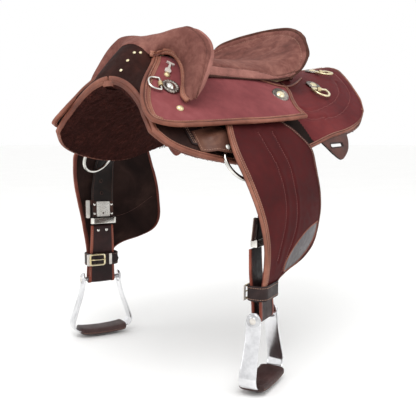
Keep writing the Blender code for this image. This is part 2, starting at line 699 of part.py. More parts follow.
def fender_grid(nu, nv):
    """Outer face of the fender; rows down its length, columns front to rear."""
    grid = []
    for i in range(nu):
        t = i * (len(FSTAT) - 1) / (nu - 1)
        f = curve_at([st[0] for st in FSTAT], t)
        b = curve_at([st[1] for st in FSTAT], t)
        bulge = curve_at([(st[2], 0, 0) for st in FSTAT], t).x
        e = 0.05
        fa, fb = max(t - e, 0.0), min(t + e, len(FSTAT) - 1.0)
        tan = (curve_at([(st[0] + st[1]) / 2 for st in FSTAT], fb)
               - curve_at([(st[0] + st[1]) / 2 for st in FSTAT], fa))
        out = (b - f).cross(tan).normalized()
        if out.x < 0:
            out = -out
        grid.append([f.lerp(b, j / (nv - 1)) + out * (bulge * (1 - (2 * j / (nv - 1) - 1) ** 2))
                     for j in range(nv)])
    return grid


left(sheet("left_fender", fender_grid(25, 9), FENDER_T, "burgundy", up=Vector((1, 0, 0.2)),
           origin=PIVOT))

# ---------------------------------------------------------------- stirrup strap
def under_fender(t, y, gap):
    """Strap place just inside the fender at station t: outer face centre, row direction."""
    f = curve_at([st[0] for st in FSTAT], t)
    b = curve_at([st[1] for st in FSTAT], t)
    bulge = curve_at([(st[2], 0, 0) for st in FSTAT], t).x
    frac = (y - f.y) / (b.y - f.y)
    fa, fb = max(t - 0.05, 0.0), t + 0.05
    tan = (curve_at([(st[0] + st[1]) / 2 for st in FSTAT], fb)
           - curve_at([(st[0] + st[1]) / 2 for st in FSTAT], fa))
    out = (b - f).cross(tan).normalized()
    if out.x < 0:
        out = -out
    p = f.lerp(b, frac) + out * (bulge * (1 - (2 * frac - 1) ** 2))
    return p - out * (FENDER_T + gap), (b - f).normalized()


STRAP_PATH = [(on_plane(0.140, SWING_Y, TAIL_T + GAP + STRAP_T), LATV)]
STRAP_PATH += [under_fender(t, y, gap) for t, y, gap in (
    (0.0, -0.1700, 0.0003), (1.0, -0.1700, 0.0003), (2.0, -0.1702, 0.0004), (3.0, -0.1710, 0.0010),
    (4.0, -0.1745, 0.0022), (5.0, -0.1790, 0.0036))]
STRAP_PATH.append((Vector((0.2300, -0.1835, -0.1720)), section_dir(0.0, math.radians(9.0))))
S_YAW = math.radians(15.0)
S_TOP, S_END = Vector((0.2285, -0.1880, -0.2020)), Vector((0.2225, -0.1920, -0.2720))
for f in (0.0, 0.5, 1.0):
    STRAP_PATH.append((S_TOP.lerp(S_END, f), section_dir(0.0, S_YAW)))


def strap_grid(nu, width, skip=0.0):
    total, s_at = 0.0, [0.0]
    for a, b in zip(STRAP_PATH, STRAP_PATH[1:]):
        total += (b[0] - a[0]).length
        s_at.append(total)
    cen = spline([s[0] for s in STRAP_PATH], nu)
    grid = []
    for i in range(nu):
        u = i / (nu - 1)
        d = Vector([lerp_table([(s / total, st[1][c]) for s, st in zip(s_at, STRAP_PATH)], u)
                    for c in range(3)]).normalized()
        grid.append([cen[i] + d * (width * (j / 2 - 0.5)) for j in range(3)])
    return grid


left(sheet("left_stirrup_strap", strap_grid(18, STRAP_W), STRAP_T, "strap_leather",
           up=Vector((1, 0, 0.3)), origin=PIVOT))

# ---------------------------------------------------------------- lower assembly
E = Vector((-math.sin(YAW), math.cos(YAW), 0.0))        # along the bolt, to the rear
W = Vector((math.cos(YAW), math.sin(YAW), 0.0))         # outward
BC = Vector(BOLT_C)


def low(e, w, z):
    """Point from the bolt centre: along the bolt, outward, up."""
    return BC + E * e + W * w + Vector((0, 0, z))


# Length plate on the strap's inner face.
S_DIR = (S_END - S_TOP).normalized()
S_LAT = section_dir(0.0, S_YAW)
S_LAT = (S_LAT - S_DIR * S_LAT.dot(S_DIR)).normalized()
S_IN = S_DIR.cross(S_LAT)
if S_IN.x > 0:
    S_IN = -S_IN
lp_m = frame_matrix(S_TOP.lerp(S_END, 0.535) + S_IN * (STRAP_T + 0.0006), S_IN, S_LAT)
hw, hh = 0.0150, 0.0165
left(plate("left_length_plate", [[(-hw, -hh), (hw, -hh), (hw, hh), (-hw, hh)]], 0.0020,
           lp_m, "nickel"))

# Sliding sleeve round the strap's end.
def box_ring(cx, cz, e_half, w0, w1, z0, z1, wall, name, look, e_shift=0.0):
    """Rectangular band round a strap: outer box less inner box."""
    rings = []
    outer = [(-e_half, w0), (e_half, w0), (e_half, w1), (-e_half, w1)]
    inner = [(-e_half + wall, w0 + wall), (e_half - wall, w0 + wall),
             (e_half - wall, w1 - wall), (-e_half + wall, w1 - wall)]
    verts = []
    for z in (z0, z1):
        for loop in (outer, inner):
            for e, w in loop:
                verts.append(low(e + e_shift, w, z))
    faces = []
    for k in range(4):
        m = (k + 1) % 4
        faces.append((k, m, 8 + m, 8 + k))              # outer wall
        faces.append((4 + k, 12 + k, 12 + m, 4 + m))    # inner wall
        faces.append((k, 4 + k, 4 + m, m))              # bottom
        faces.append((8 + k, 8 + m, 12 + m, 12 + k))    # top
    return from_faces(name, verts, faces, look, smooth=False)


Z_SL0, Z_SL1 = 0.1215, 0.1345      # sleeve, heights over the bolt
left(box_ring(0, 0, 0.0282, -0.0150, -0.0008, Z_SL0, Z_SL1, 0.0012, "left_sleeve", "nickel",
              e_shift=0.0048))


# Lower leather: loop round the bolt, both legs up.
def u_loop(name, r_in, thick, z_in, z_out, w_in_top, w_out_top, half, look):
    """Leather U in the (w, z) plane, drawn out along the bolt."""
    def path(r):
        pts = []
        pts.append((w_in_top - (r - r_in), z_in))
        pts.append((-r - 0.0015, 0.035))
        pts.append((-r, 0.012))
        pts += [(-r * math.cos(math.radians(a)), -r * math.sin(math.radians(a)))
                for a in (0, 30, 60, 90, 120, 150, 180)]
        pts.append((r, 0.012))
        pts.append((w_out_top + (r - r_in), z_out))
        return pts
    outer, inner = path(r_in + thick), path(r_in)
    ring = outer + inner[::-1]

    def taper(z):
        return 1.0 - 0.17 * min(max(z / z_in, 0.0), 1.0)
    rings = [[low(e * taper(z), w, z) for w, z in ring] for e in (-half, 0.0, half)]
    return loft(name, rings, look, origin=low(0, 0, 0), smooth=True)


LR = BOLT_R + 0.0006
left(u_loop("left_lower_leather", LR, LEATHER_T, 0.1180, 0.0385, -0.0125, 0.0040,
            LEATHER_W / 2, "tan_leather"))

# Hobble strap: band round the fender's neck and the lower leather.
HB_Z0, HB_Z1 = 0.0310, 0.0575
left(box_ring(0, 0, 0.0375, -0.0195, 0.0195, HB_Z0, HB_Z1, 0.0024, "left_hobble_strap",
              "dark_leather", e_shift=0.0015))
hb_m = frame_matrix(low(-0.014, -0.0195 - GAP, (HB_Z0 + HB_Z1) / 2), -W, E)
left(plate("left_hobble_buckle",
           [[(-0.0180, -0.0132), (0.0180, -0.0132), (0.0180, 0.0132), (-0.0180, 0.0132)],
            [(-0.0142, -0.0096), (-0.0142, 0.0096), (0.0142, 0.0096), (0.0142, -0.0096)]],
           0.0030, hb_m, "brass"))

# ---------------------------------------------------------------- stirrup
IRON_TOP, IRON_BOT, IRON_H = 0.0400, 0.0680, 0.1260


def iron_path():
    """Middle line of the strip in (e, z): up one leg, round, and down is mirrored."""
    return [(IRON_TOP, 0.0135), (IRON_TOP, 0.0080), (IRON_TOP + 0.0004, 0.0), (IRON_TOP + 0.0012, -0.010),
            (0.0460, -0.033), (0.0560, -0.063), (0.0640, -0.086), (0.0660, -0.098),
            (0.0590, -0.1095), (0.040, -0.1130), (0.020, -0.1145), (0.0, -0.1150)]


half_path = iron_path()
full = [(-e, z) for e, z in half_path] + [(e, z) for e, z in half_path[-2::-1]]
rings = []
for i, (e, z) in enumerate(full):
    a, b = full[max(i - 1, 0)], full[min(i + 1, len(full) - 1)]
    te, tz = b[0] - a[0], b[1] - a[1]
    ln = math.hypot(te, tz)
    ne, nz = -tz / ln, te / ln
    k = min(i, len(full) - 1 - i)
    wd = (0.0090, 0.0200, 0.0270, 0.0285, 0.0275, 0.0290, 0.0310, 0.0320, 0.0320, 0.030, 0.028, 0.028)[min(k, 11)] / 2
    t = IRON_T / 2
    ring = []
    for sw, st in ((-1, -0.4), (-0.8, -1), (0.8, -1), (1, -0.4), (1, 0.4), (0.8, 1), (-0.8, 1), (-1, 0.4)):
        ring.append(low(e + ne * t * st, wd * sw, z + nz * t * st))
    rings.append(ring)
iron = loft("left_stirrup", rings, "cast_aluminium", origin=low(0, 0, 0))
drill = bpy.data.meshes.new("bolt_drill")
bm = bmesh.new()
bmesh.ops.create_cone(bm, cap_ends=True, segments=20, radius1=BOLT_R + GAP, radius2=BOLT_R + GAP,
                      depth=0.14)
bm.to_mesh(drill)
bm.free()
drill_ob = bpy.data.objects.new("bolt_drill", drill)
cutters.objects.link(drill_ob)
drill_ob.matrix_world = frame_matrix(low(0, 0, 0), E, W)
drill_ob.hide_render = True
drill_ob.display_type = "WIRE"
cut = iron.modifiers.new("bolt_holes", "BOOLEAN")
cut.operation = "DIFFERENCE"
cut.solver = "EXACT"
cut.object = drill_ob
left(iron)

bolt_len = 2 * (IRON_TOP + IRON_T / 2) + 0.0010
bolt_m = frame_matrix(low(0, 0, 0) - E * (bolt_len / 2), E, W)
left(turned("left_stirrup_bolt", [(0.0, bolt_len), (BOLT_R - 0.0006, bolt_len), (BOLT_R, bolt_len - 0.0006),
                                  (BOLT_R, 0.0006), (BOLT_R - 0.0006, 0.0), (0.0, 0.0)],
            bolt_m, "steel", steps=20))

# Leather-wrapped tread on the foot bar, a sleeve round the iron's lower strip.
def iron_z(e):
    run = sorted((x, z) for x, z in half_path[8:])
    for (xa, za), (xb, zb) in zip(run, run[1:]):
        if abs(e) <= xb:
            return za + (zb - za) * (abs(e) - xa) / (xb - xa)
    return run[-1][1]


def tread_ring(e):
    z0 = iron_z(e)
    up, dn, wd = 0.0075, 0.0075, 0.0235
    out = [(-wd, -0.004), (-wd * 0.75, -dn), (wd * 0.75, -dn), (wd, -0.004), (wd, 0.004),
           (wd * 0.75, up), (-wd * 0.75, up), (-wd, 0.004)]
    iw, ih = 0.0164, 0.0030
    inn = [(-iw, -ih), (0.0, -ih), (iw, -ih), (iw, 0.0), (iw, ih), (0.0, ih), (-iw, ih), (-iw, 0.0)]
    return [low(e, w, z0 + z) for w, z in out], [low(e, w, z0 + z) for w, z in inn]


t_es = [-0.0515 + 0.103 * i / 10 for i in range(11)]
tv, tf = [], []
for e in t_es:
    o, n_ = tread_ring(e)
    tv += o + n_
for i in range(len(t_es)):
    b = i * 16
    for k in range(8):
        m = (k + 1) % 8
        if i < len(t_es) - 1:
            c = b + 16
            tf.append((b + k, b + m, c + m, c + k))
            tf.append((b + 8 + k, c + 8 + k, c + 8 + m, b + 8 + m))
        if i in (0, len(t_es) - 1):
            tf.append((b + k, b + 8 + k, b + 8 + m, b + m))
left(from_faces("left_tread", tv, tf, "dark_leather"))

# ---------------------------------------------------------------- rigging
def on_skin_patch(outline, h, nx_dir):
    return [[lift(x, y, h) for x, y in row] for row in outline]


RIG_TOP, RIG_T = 0.0026, 0.0020     # rigging plate: top over the skirt, thickness
rig_rows = []
for i in range(7):
    t = i / 6
    x = 0.134 + 0.052 * t
    y0 = -0.284 + 0.036 * t
    y1 = -0.150 - 0.030 * t
    rig_rows.append([lift(x, y0 + (y1 - y0) * j / 6, RIG_TOP) for j in range(7)])
left(sheet("left_rigging_plate", rig_rows, RIG_T, "dark_leather"))

RING_R, RING_WIRE = 0.0395, 0.0035  # rigging ring: wire centre circle, wire radius
RING_X, RING_Y = 0.1965, -0.2140
RING_TILT = math.radians(2.9)       # hangs in towards the skirt, turned about its top
ring_n = skin_normal(RING_X, RING_Y)
ring_c = lift(RING_X, RING_Y, RIG_TOP + RING_WIRE + 0.0014)
ring_dir = Vector((1, 0, -2 * steep(RING_Y) * RING_X))
ring_dir = (ring_dir - ring_n * ring_dir.dot(ring_n)).normalized()
ring_lat = ring_n.cross(ring_dir)
ring_top = ring_c - ring_dir * RING_R
ring_dir = Matrix.Rotation(RING_TILT, 3, ring_lat) @ ring_dir
ring_n = Matrix.Rotation(RING_TILT, 3, ring_lat) @ ring_n
ring_c = ring_top + ring_dir * RING_R
ring_pts = [ring_c - ring_dir * (RING_R * math.cos(a)) + ring_lat * (RING_R * math.sin(a))
            for a in (2 * math.pi * k / 28 for k in range(28))]
left(wire("left_rigging_ring", ring_pts, RING_WIRE, "steel", cyclic=True, origin=ring_c))

# Rear slotted tab: root under the skirt edge, flat blade hanging below it.
TAB_Y0, TAB_Y1 = 0.008, 0.072


def tab_point(s, q, h):
    """s down the tab, q across (-1..1), h over its inner face."""
    p_edge = Vector((0.2330, 0.035, -0.0880))
    down = Vector((0.10, 0.0, -1.0)).normalized()
    lat = Vector((0.05, 1.0, 0.06)).normalized()
    out = lat.cross(down)
    out = out if out.x > 0 else -out
    return p_edge + down * s + lat * q + out * h


tab_m = frame_matrix(tab_point(0, 0, 0), Vector((1.0, -0.05, 0.10)), Vector((0.05, 1.0, 0.06)))
tab_out = [(-0.040, 0.006), (-0.034, -0.010), (-0.028, -0.024), (-0.017, -0.038), (0.0, -0.052),
           (0.015, -0.045), (0.030, -0.032), (0.037, -0.016), (0.038, -0.002), (0.040, 0.006)]
tab_slot = [(-0.020, -0.0255), (-0.020, -0.0180), (0.020, -0.0180), (0.020, -0.0255)]
left(plate("left_rear_tab", [tab_out, tab_slot], 0.0035, tab_m, "dark_leather"))

# ---------------------------------------------------------------- fittings
def disc(name, p, n, radius, height, look, steps=18):
    m = frame_matrix(p + n * 0.0010, n, Vector((0, 1, 0)))
    return left(turned(name, [(0.0, height), (radius * 0.38, height * 0.86), (radius * 0.55, height * 0.45),
                              (radius * 0.9, height * 0.55), (radius, height * 0.28), (radius * 0.97, 0.0),
                              (0.0, 0.0)], m, look, steps=steps))


def dee(name, hinge, n, lat, out, width, reach, wire_r, look):
    """D ring: straight bar on the hinge along lat, bow reaching along out."""
    hw_ = width / 2
    pts = [hinge - lat * hw_ * 0.98, hinge + lat * hw_ * 0.98]
    for k in range(1, 10):
        a = math.pi * k / 10
        pts.append(hinge + lat * (hw_ * math.cos(a)) + out * (reach * 0.18 + reach * 0.82 * math.sin(a)))
    return left(wire(name, pts, wire_r, look, cyclic=True, origin=hinge))


DEE_HINGES = {}


def hung_dee(name, centre, n, away, offset, width, reach, wire_r, look):
    """Dee lying on a surface, its straight bar `offset` from the concho's centre."""
    out = Vector(away)
    out = (out - n * out.dot(n)).normalized()
    hinge = Vector(centre) + out * offset + n * (wire_r + 0.0016)
    DEE_HINGES[name] = (hinge, out, n)
    return dee(name, hinge, n, n.cross(out), out, width, reach, wire_r, look)


# front: concho on the jockey, its dee lying forward of it
cp, cn, cu, cv = jockey_point(0.150, 0.467)
disc("left_front_concho", cp, cn, 0.0160, 0.0055, "antique")
hung_dee("left_front_dee", cp, cn, jockey_point(0.062, 0.467)[0] - cp, 0.0190, 0.029, 0.021, 0.0019, "nickel")
# T hook above it
hp, hn, hu, hv = jockey_point(0.107, 0.165)
hook_m = frame_matrix(hp + hn * 0.0010, hn, -hv)
hook_out = [(-0.0160, -0.0050), (-0.0090, -0.0060), (-0.0040, -0.0022), (0.0120, -0.0018), (0.0120, -0.0075), (0.0160, -0.0075),
            (0.0160, 0.0075), (0.0120, 0.0075), (0.0120, 0.0018), (-0.0040, 0.0022), (-0.0090, 0.0060), (-0.0160, 0.0050)]
left(plate("left_t_hook", [hook_out], 0.0030, hook_m, "nickel"))
# seat concho near the jockey's rear top corner
sp_, sn_, su_, sv_ = jockey_point(0.887, 0.467)
disc("left_seat_concho", sp_, sn_, 0.0170, 0.0060, "antique")
# rear conchos with dees on the skirt behind the seat
for tag, x, y, away in (("inner", 0.0417, 0.2125, (1.0, 0.0, 0.0)), ("outer", 0.1120, 0.1140, (1.0, -0.30, 0.0))):
    n = skin_normal(x, y)
    disc("left_rear_concho_" + tag, lift(x, y, 0.0), n, 0.0165, 0.0055, "antique")
    hung_dee("left_rear_dee_" + tag, lift(x, y, 0.0), n, away, 0.0215, 0.036, 0.027, 0.0022, "nickel")

bpy.context.view_layer.update()
for ob in left_pieces:
    mirror_to_right(ob)
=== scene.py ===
"""Looks of the half breed saddle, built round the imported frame.

Lengths in metres.  Shapes are worked out from the drawing datum, which lies
DATUM under the frame's origin, and moved into the frame as each mesh is made.
Pommel towards -Y, rider's left (near) side towards +X, mirror plane X = 0.
"""
import math

import bmesh
import bpy
import numpy as np
from mathutils import Matrix, Vector
from mathutils.bvhtree import BVHTree


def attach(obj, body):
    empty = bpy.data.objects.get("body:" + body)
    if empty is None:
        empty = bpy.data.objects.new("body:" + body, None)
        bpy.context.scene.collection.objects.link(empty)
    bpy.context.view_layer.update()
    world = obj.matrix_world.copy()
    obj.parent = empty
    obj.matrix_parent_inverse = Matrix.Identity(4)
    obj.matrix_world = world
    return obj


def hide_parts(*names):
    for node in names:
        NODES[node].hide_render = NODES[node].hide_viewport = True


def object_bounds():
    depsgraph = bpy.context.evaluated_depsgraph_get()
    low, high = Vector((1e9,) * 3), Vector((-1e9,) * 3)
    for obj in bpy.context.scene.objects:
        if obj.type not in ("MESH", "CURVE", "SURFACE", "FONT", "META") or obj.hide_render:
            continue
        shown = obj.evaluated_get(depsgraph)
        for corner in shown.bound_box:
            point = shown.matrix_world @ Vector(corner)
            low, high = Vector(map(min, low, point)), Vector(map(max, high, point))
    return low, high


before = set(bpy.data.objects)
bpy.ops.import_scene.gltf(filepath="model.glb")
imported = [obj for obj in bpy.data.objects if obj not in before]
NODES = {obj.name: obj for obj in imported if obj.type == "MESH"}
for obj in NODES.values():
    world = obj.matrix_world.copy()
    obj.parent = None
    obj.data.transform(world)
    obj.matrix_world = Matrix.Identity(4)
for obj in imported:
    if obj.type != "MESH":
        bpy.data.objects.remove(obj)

CAD_BOX = [list(v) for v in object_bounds()]
SCENE = bpy.context.scene
DATUM = 0.025
SWING_Y = -0.170
GAP = 0.0003
TAIL_T, STRAP_T, FENDER_T = 0.0024, 0.0030, 0.0040
pi = math.pi


# ================================================================ small maths
def unit(a):
    a = np.asarray(a, float)
    return a / np.maximum(np.linalg.norm(a, axis=-1, keepdims=True), 1e-12)


def dot(a, b):
    return (np.asarray(a, float) * np.asarray(b, float)).sum(-1)


def perp(v, n):
    """v with its part along n taken out, made unit."""
    v, n = np.asarray(v, float), np.asarray(n, float)
    return unit(v - n * dot(v, n)[..., None])


def smoothstep(x, a, b):
    t = np.clip((np.asarray(x, float) - a) / (b - a), 0, 1)
    return t * t * (3 - 2 * t)


def lerp_table(table, y):
    n = len(table)
    if y <= table[0][0]:
        return table[0][1]
    if y >= table[-1][0]:
        return table[-1][1]
    xs = [p[0] for p in table]
    vs = [p[1] for p in table]
    i = max(k for k in range(n - 1) if xs[k] <= y)
    sec = [(vs[k + 1] - vs[k]) / (xs[k + 1] - xs[k]) for k in range(n - 1)]

    def slope(k):
        if k == 0:
            return sec[0]
        if k == n - 1:
            return sec[-1]
        a, b = sec[k - 1], sec[k]
        return 0.0 if a * b <= 0 else 2 * a * b / (a + b)
    h = xs[i + 1] - xs[i]
    t = (y - xs[i]) / h
    m0, m1 = slope(i) * h, slope(i + 1) * h
    return ((2 * t**3 - 3 * t**2 + 1) * vs[i] + (t**3 - 2 * t**2 + t) * m0
            + (-2 * t**3 + 3 * t**2) * vs[i + 1] + (t**3 - t**2) * m1)


STEEP = [(-0.37, 4.90), (-0.30, 4.45), (-0.25, 4.15), (-0.15, 3.60), (-0.05, 3.00),
         (0.05, 2.66), (0.15, 2.65), (0.25, 2.85), (0.35, 3.10)]
_YS = np.linspace(-0.45, 0.45, 3601)
_ST = np.array([lerp_table(STEEP, y) for y in _YS])


def steep(y):
    return np.interp(y, _YS, _ST)


def ridge(y):
    return 0.055 + 0.1 * y - 0.010 * (1.0 - (y / 0.35) ** 2)


def skin(x, y):
    return ridge(y) - steep(y) * x * x


def skin_normal(x, y):
    x, y = np.broadcast_arrays(np.asarray(x, float), np.asarray(y, float))
    e = 5e-4
    return unit(np.stack([-(skin(x + e, y) - skin(x - e, y)) / (2 * e),
                          -(skin(x, y + e) - skin(x, y - e)) / (2 * e), np.ones_like(x)], -1))


def lift(x, y, h):
    x, y, h = np.broadcast_arrays(np.asarray(x, float), np.asarray(y, float), np.asarray(h, float))
    return np.stack([x, y, skin(x, y)], -1) + skin_normal(x, y) * h[..., None]


def catmull(points, per=16):
    pts = np.asarray(points, float)
    ext = np.vstack([2 * pts[0] - pts[1], pts, 2 * pts[-1] - pts[-2]])
    out = []
    ts = np.arange(per) / per
    for i in range(1, len(ext) - 2):
        a, b, c, d = ext[i - 1], ext[i], ext[i + 1], ext[i + 2]
        t = ts[:, None]
        out.append(0.5 * ((2 * b) + (c - a) * t + (2 * a - 5 * b + 4 * c - d) * t * t
                          + (3 * b - a - 3 * c + d) * t ** 3))
    out.append(ext[-2][None])
    return np.vstack(out)


def spaced(P, n):
    """n points evenly along a polyline."""
    P = np.asarray(P, float)
    s = np.concatenate([[0], np.cumsum(np.linalg.norm(np.diff(P, axis=0), axis=1))])
    q = np.linspace(0, s[-1], n)
    return np.stack([np.interp(q, s, P[:, k]) for k in range(P.shape[1])], -1)


def length(P):
    return float(np.linalg.norm(np.diff(np.asarray(P, float), axis=0), axis=1).sum())


def spline(points, n):
    return spaced(catmull(points), n)


def by_step(P, step):
    return spaced(P, max(3, int(round(length(P) / step)) + 1))


def coons(inner, outer, front, rear, nu, nv):
    ci, co = spline(inner, nu), spline(outer, nu)
    cf, cr = spline(front, nv), spline(rear, nv)
    u = np.linspace(0, 1, nu)[:, None, None]
    v = np.linspace(0, 1, nv)[None, :, None]
    return ((1 - v) * ci[:, None] + v * co[:, None] + (1 - u) * cf[None] + u * cr[None]
            - ((1 - u) * (1 - v) * cf[0] + (1 - u) * v * cf[-1] + u * (1 - v) * cr[0] + u * v * cr[-1]))


def vnoise(P, size, seed=0):
    """Smooth value noise from -1 to 1, one cell `size` metres."""
    q = np.asarray(P, float) / size + 57.3 + seed * 13.7
    i = np.floor(q).astype(np.int64)
    f = q - i
    f = f * f * (3 - 2 * f)

    def h(a, b, c):
        n = (a * 374761393 + b * 668265263 + c * 974711 + seed * 144269) & 0xffffffff
        n = ((n ^ (n >> 13)) * 1274126177) & 0xffffffff
        n = n ^ (n >> 16)
        return (n & 0xffff) / 32767.5 - 1.0
    x, y, z = i[..., 0], i[..., 1], i[..., 2]
    fx, fy, fz = f[..., 0], f[..., 1], f[..., 2]

    def mix(a, b, t):
        return a + (b - a) * t
    return mix(mix(mix(h(x, y, z), h(x + 1, y, z), fx), mix(h(x, y + 1, z), h(x + 1, y + 1, z), fx), fy),
               mix(mix(h(x, y, z + 1), h(x + 1, y, z + 1), fx),
                   mix(h(x, y + 1, z + 1), h(x + 1, y + 1, z + 1), fx), fy), fz)


def path_distance(P, line):
    """Distance from each point of P to a polyline."""
    P = np.asarray(P, float)
    shape = P.shape[:-1]
    Q = P.reshape(-1, 3)
    best = np.full(len(Q), 1e9)
    line = np.asarray(line, float)
    for a, b in zip(line[:-1], line[1:]):
        d = b - a
        t = np.clip(((Q - a) @ d) / max(d @ d, 1e-12), 0, 1)
        best = np.minimum(best, ((Q - a - t[:, None] * d) ** 2).sum(1))
    return np.sqrt(best).reshape(shape)


# ================================================================ camera
AZ, EL = math.radians(43.4708), math.radians(5.9683)
CAM = np.array([0.93, -1.07266, -0.08748])              # from the datum
BACK = np.array([math.sin(AZ) * math.cos(EL), -math.cos(AZ) * math.cos(EL), math.sin(EL)])
RIGHT = unit(np.cross([0, 0, 1], BACK))
UPV = np.cross(BACK, RIGHT)
LENS = 57.115


def ray(px, py):
    x = (px - 208.0) / 416.0 * 36.0 / LENS
    y = -(py - 208.0) / 416.0 * 36.0 / LENS
    return unit(RIGHT * x + UPV * y - BACK)


def hit(tree, px, py):
    loc, n, _, _ = tree.ray_cast(Vector(CAM), Vector(ray(px, py)))
    if loc is None:
        return None
    n = np.array(n)
    return np.array(loc), (n if n @ BACK > 0 else -n)


def seen_line(tree, pixels, step=0.003):
    """Line on a surface that lies under a curve of the picture."""
    pts = spaced(catmull(pixels), 90)
    got = [h for h in (hit(tree, *p) for p in pts) if h is not None]
    if len(got) < 3:
        return None, None
    P = by_step(np.array([g[0] for g in got]), step)
    return settle(tree, P)


def settle(tree, P, side=None):
    """Nearest points of a surface, with normals smoothed along the line."""
    out, nrm = [], []
    for p in P:
        loc, n, _, _ = tree.find_nearest(Vector(p))
        out.append(loc)
        nrm.append(n)
    out, nrm = np.array(out, float), np.array(nrm, float)
    ref = np.asarray(side, float) if side is not None else BACK
    flip = dot(nrm, np.broadcast_to(ref, nrm.shape)) < 0
    nrm[flip] *= -1
    return out, smooth_rows(nrm, 2)


def smooth_pts0(A, times):
    """Points of a line evened out, its ends kept."""
    A = np.array(A, float)
    for _ in range(times):
        A[1:-1] = (A[:-2] + 2 * A[1:-1] + A[2:]) / 4
    return A


def smooth_rows(A, times=1):
    A = np.array(A, float)
    for _ in range(times):
        B = A.copy()
        B[1:-1] = (A[:-2] + 2 * A[1:-1] + A[2:]) / 4
        A = B
    return unit(A)


# ================================================================ materials
def hexc(h):
    c = [int(h[i:i + 2], 16) / 255 for i in (1, 3, 5)]
    return tuple(x / 12.92 if x <= 0.04045 else ((x + 0.055) / 1.055) ** 2.4 for x in c) + (1.0,)


class Mat:
    """Material with a few helpers for building its nodes."""

    def __init__(self, name, rough=0.6, metal=0.0, sheen=0.0, sheen_rough=0.5, tint=None, spec=0.5, coat=0.0,
                 coat_rough=0.2):
        self.m = bpy.data.materials.new(name)
        self.m.use_nodes = True
        self.t = self.m.node_tree
        self.b = self.t.nodes["Principled BSDF"]
        self.b.inputs["Roughness"].default_value = rough
        self.b.inputs["Metallic"].default_value = metal
        self.b.inputs["Specular IOR Level"].default_value = spec
        if sheen:
            self.b.inputs["Sheen Weight"].default_value = sheen
            self.b.inputs["Sheen Roughness"].default_value = sheen_rough
            if tint:
                self.b.inputs["Sheen Tint"].default_value = tint
        if coat:
            self.b.inputs["Coat Weight"].default_value = coat
            self.b.inputs["Coat Roughness"].default_value = coat_rough
        self.co = self.node("ShaderNodeTexCoord").outputs["Object"]
        self.uv = None
        self.height = None

    def node(self, kind, **values):
        n = self.t.nodes.new(kind)
        for k, v in values.items():
            if k in n.inputs:
                n.inputs[k].default_value = v
            else:
                setattr(n, k, v)
        return n

    def link(self, a, b):
        self.t.links.new(a, b)

    def stretch(self, x, y, z, turn=(0, 0, 0)):
        m = self.node("ShaderNodeMapping")
        m.inputs["Scale"].default_value = (x, y, z)
        m.inputs["Rotation"].default_value = turn
        self.link(self.co, m.inputs["Vector"])
        return m.outputs["Vector"]

    def noise(self, scale, detail=4.0, rough=0.55, warp=0.0, at=None):
        n = self.node("ShaderNodeTexNoise", Scale=scale, Detail=detail, Roughness=rough, Distortion=warp)
        self.link(at or self.co, n.inputs["Vector"])
        return n.outputs["Fac"]

    def cells(self, scale, feature="F1", at=None):
        n = self.node("ShaderNodeTexVoronoi", Scale=scale)
        n.feature = feature
        self.link(at or self.co, n.inputs["Vector"])
        return n.outputs["Distance"]

    def ramp(self, fac, stops):
        r = self.node("ShaderNodeValToRGB")
        el = r.color_ramp.elements
        while len(el) < len(stops):
            el.new(0.5)
        for e, (pos, col) in zip(el, stops):
            e.position = pos
            e.color = hexc(col) if isinstance(col, str) else (col, col, col, 1)
        self.link(fac, r.inputs["Fac"])
        return r.outputs["Color"]

    def mix(self, a, b, fac, mode="MIX"):
        m = self.node("ShaderNodeMix", data_type="RGBA", blend_type=mode)
        for sock, v in ((m.inputs[0], fac), (m.inputs[6], a), (m.inputs[7], b)):
            if isinstance(v, (float, int)):
                sock.default_value = v
            elif isinstance(v, str):
                sock.default_value = hexc(v)
            else:
                self.link(v, sock)
        return m.outputs[2]

    def math(self, op, a, b=None, c=None):
        m = self.node("ShaderNodeMath", operation=op)
        for k, v in enumerate((a, b, c)):
            if v is None:
                continue
            if isinstance(v, (float, int)):
                m.inputs[k].default_value = v
            else:
                self.link(v, m.inputs[k])
        return m.outputs[0]

    def span(self, x, a, b, c, d):
        m = self.node("ShaderNodeMapRange")
        for k, v in zip(("From Min", "From Max", "To Min", "To Max"), (a, b, c, d)):
            m.inputs[k].default_value = v
        self.link(x, m.inputs["Value"])
        return m.outputs["Result"]

    def colour(self, c):
        self.link(c, self.b.inputs["Base Color"])

    def rough(self, r):
        self.link(r, self.b.inputs["Roughness"])

    def bump(self, fac, depth, strength=1.0):
        n = self.node("ShaderNodeBump", Strength=strength, Distance=depth)
        self.link(fac, n.inputs["Height"])
        if self.height is not None:
            self.link(self.height, n.inputs["Normal"])
        self.height = n.outputs["Normal"]
        self.link(self.height, self.b.inputs["Normal"])

    def uvs(self, scale_u, scale_v, turn=0.0):
        """u and v of the mesh, in metres, times a scale."""
        t = self.node("ShaderNodeUVMap")
        t.uv_map = "UVMap"
        m = self.node("ShaderNodeMapping")
        m.inputs["Scale"].default_value = (scale_u, scale_v, 1)
        m.inputs["Rotation"].default_value = (0, 0, turn)
        self.link(t.outputs["UV"], m.inputs["Vector"])
        s = self.node("ShaderNodeSeparateXYZ")
        self.link(m.outputs["Vector"], s.inputs["Vector"])
        return s.outputs["X"], s.outputs["Y"]


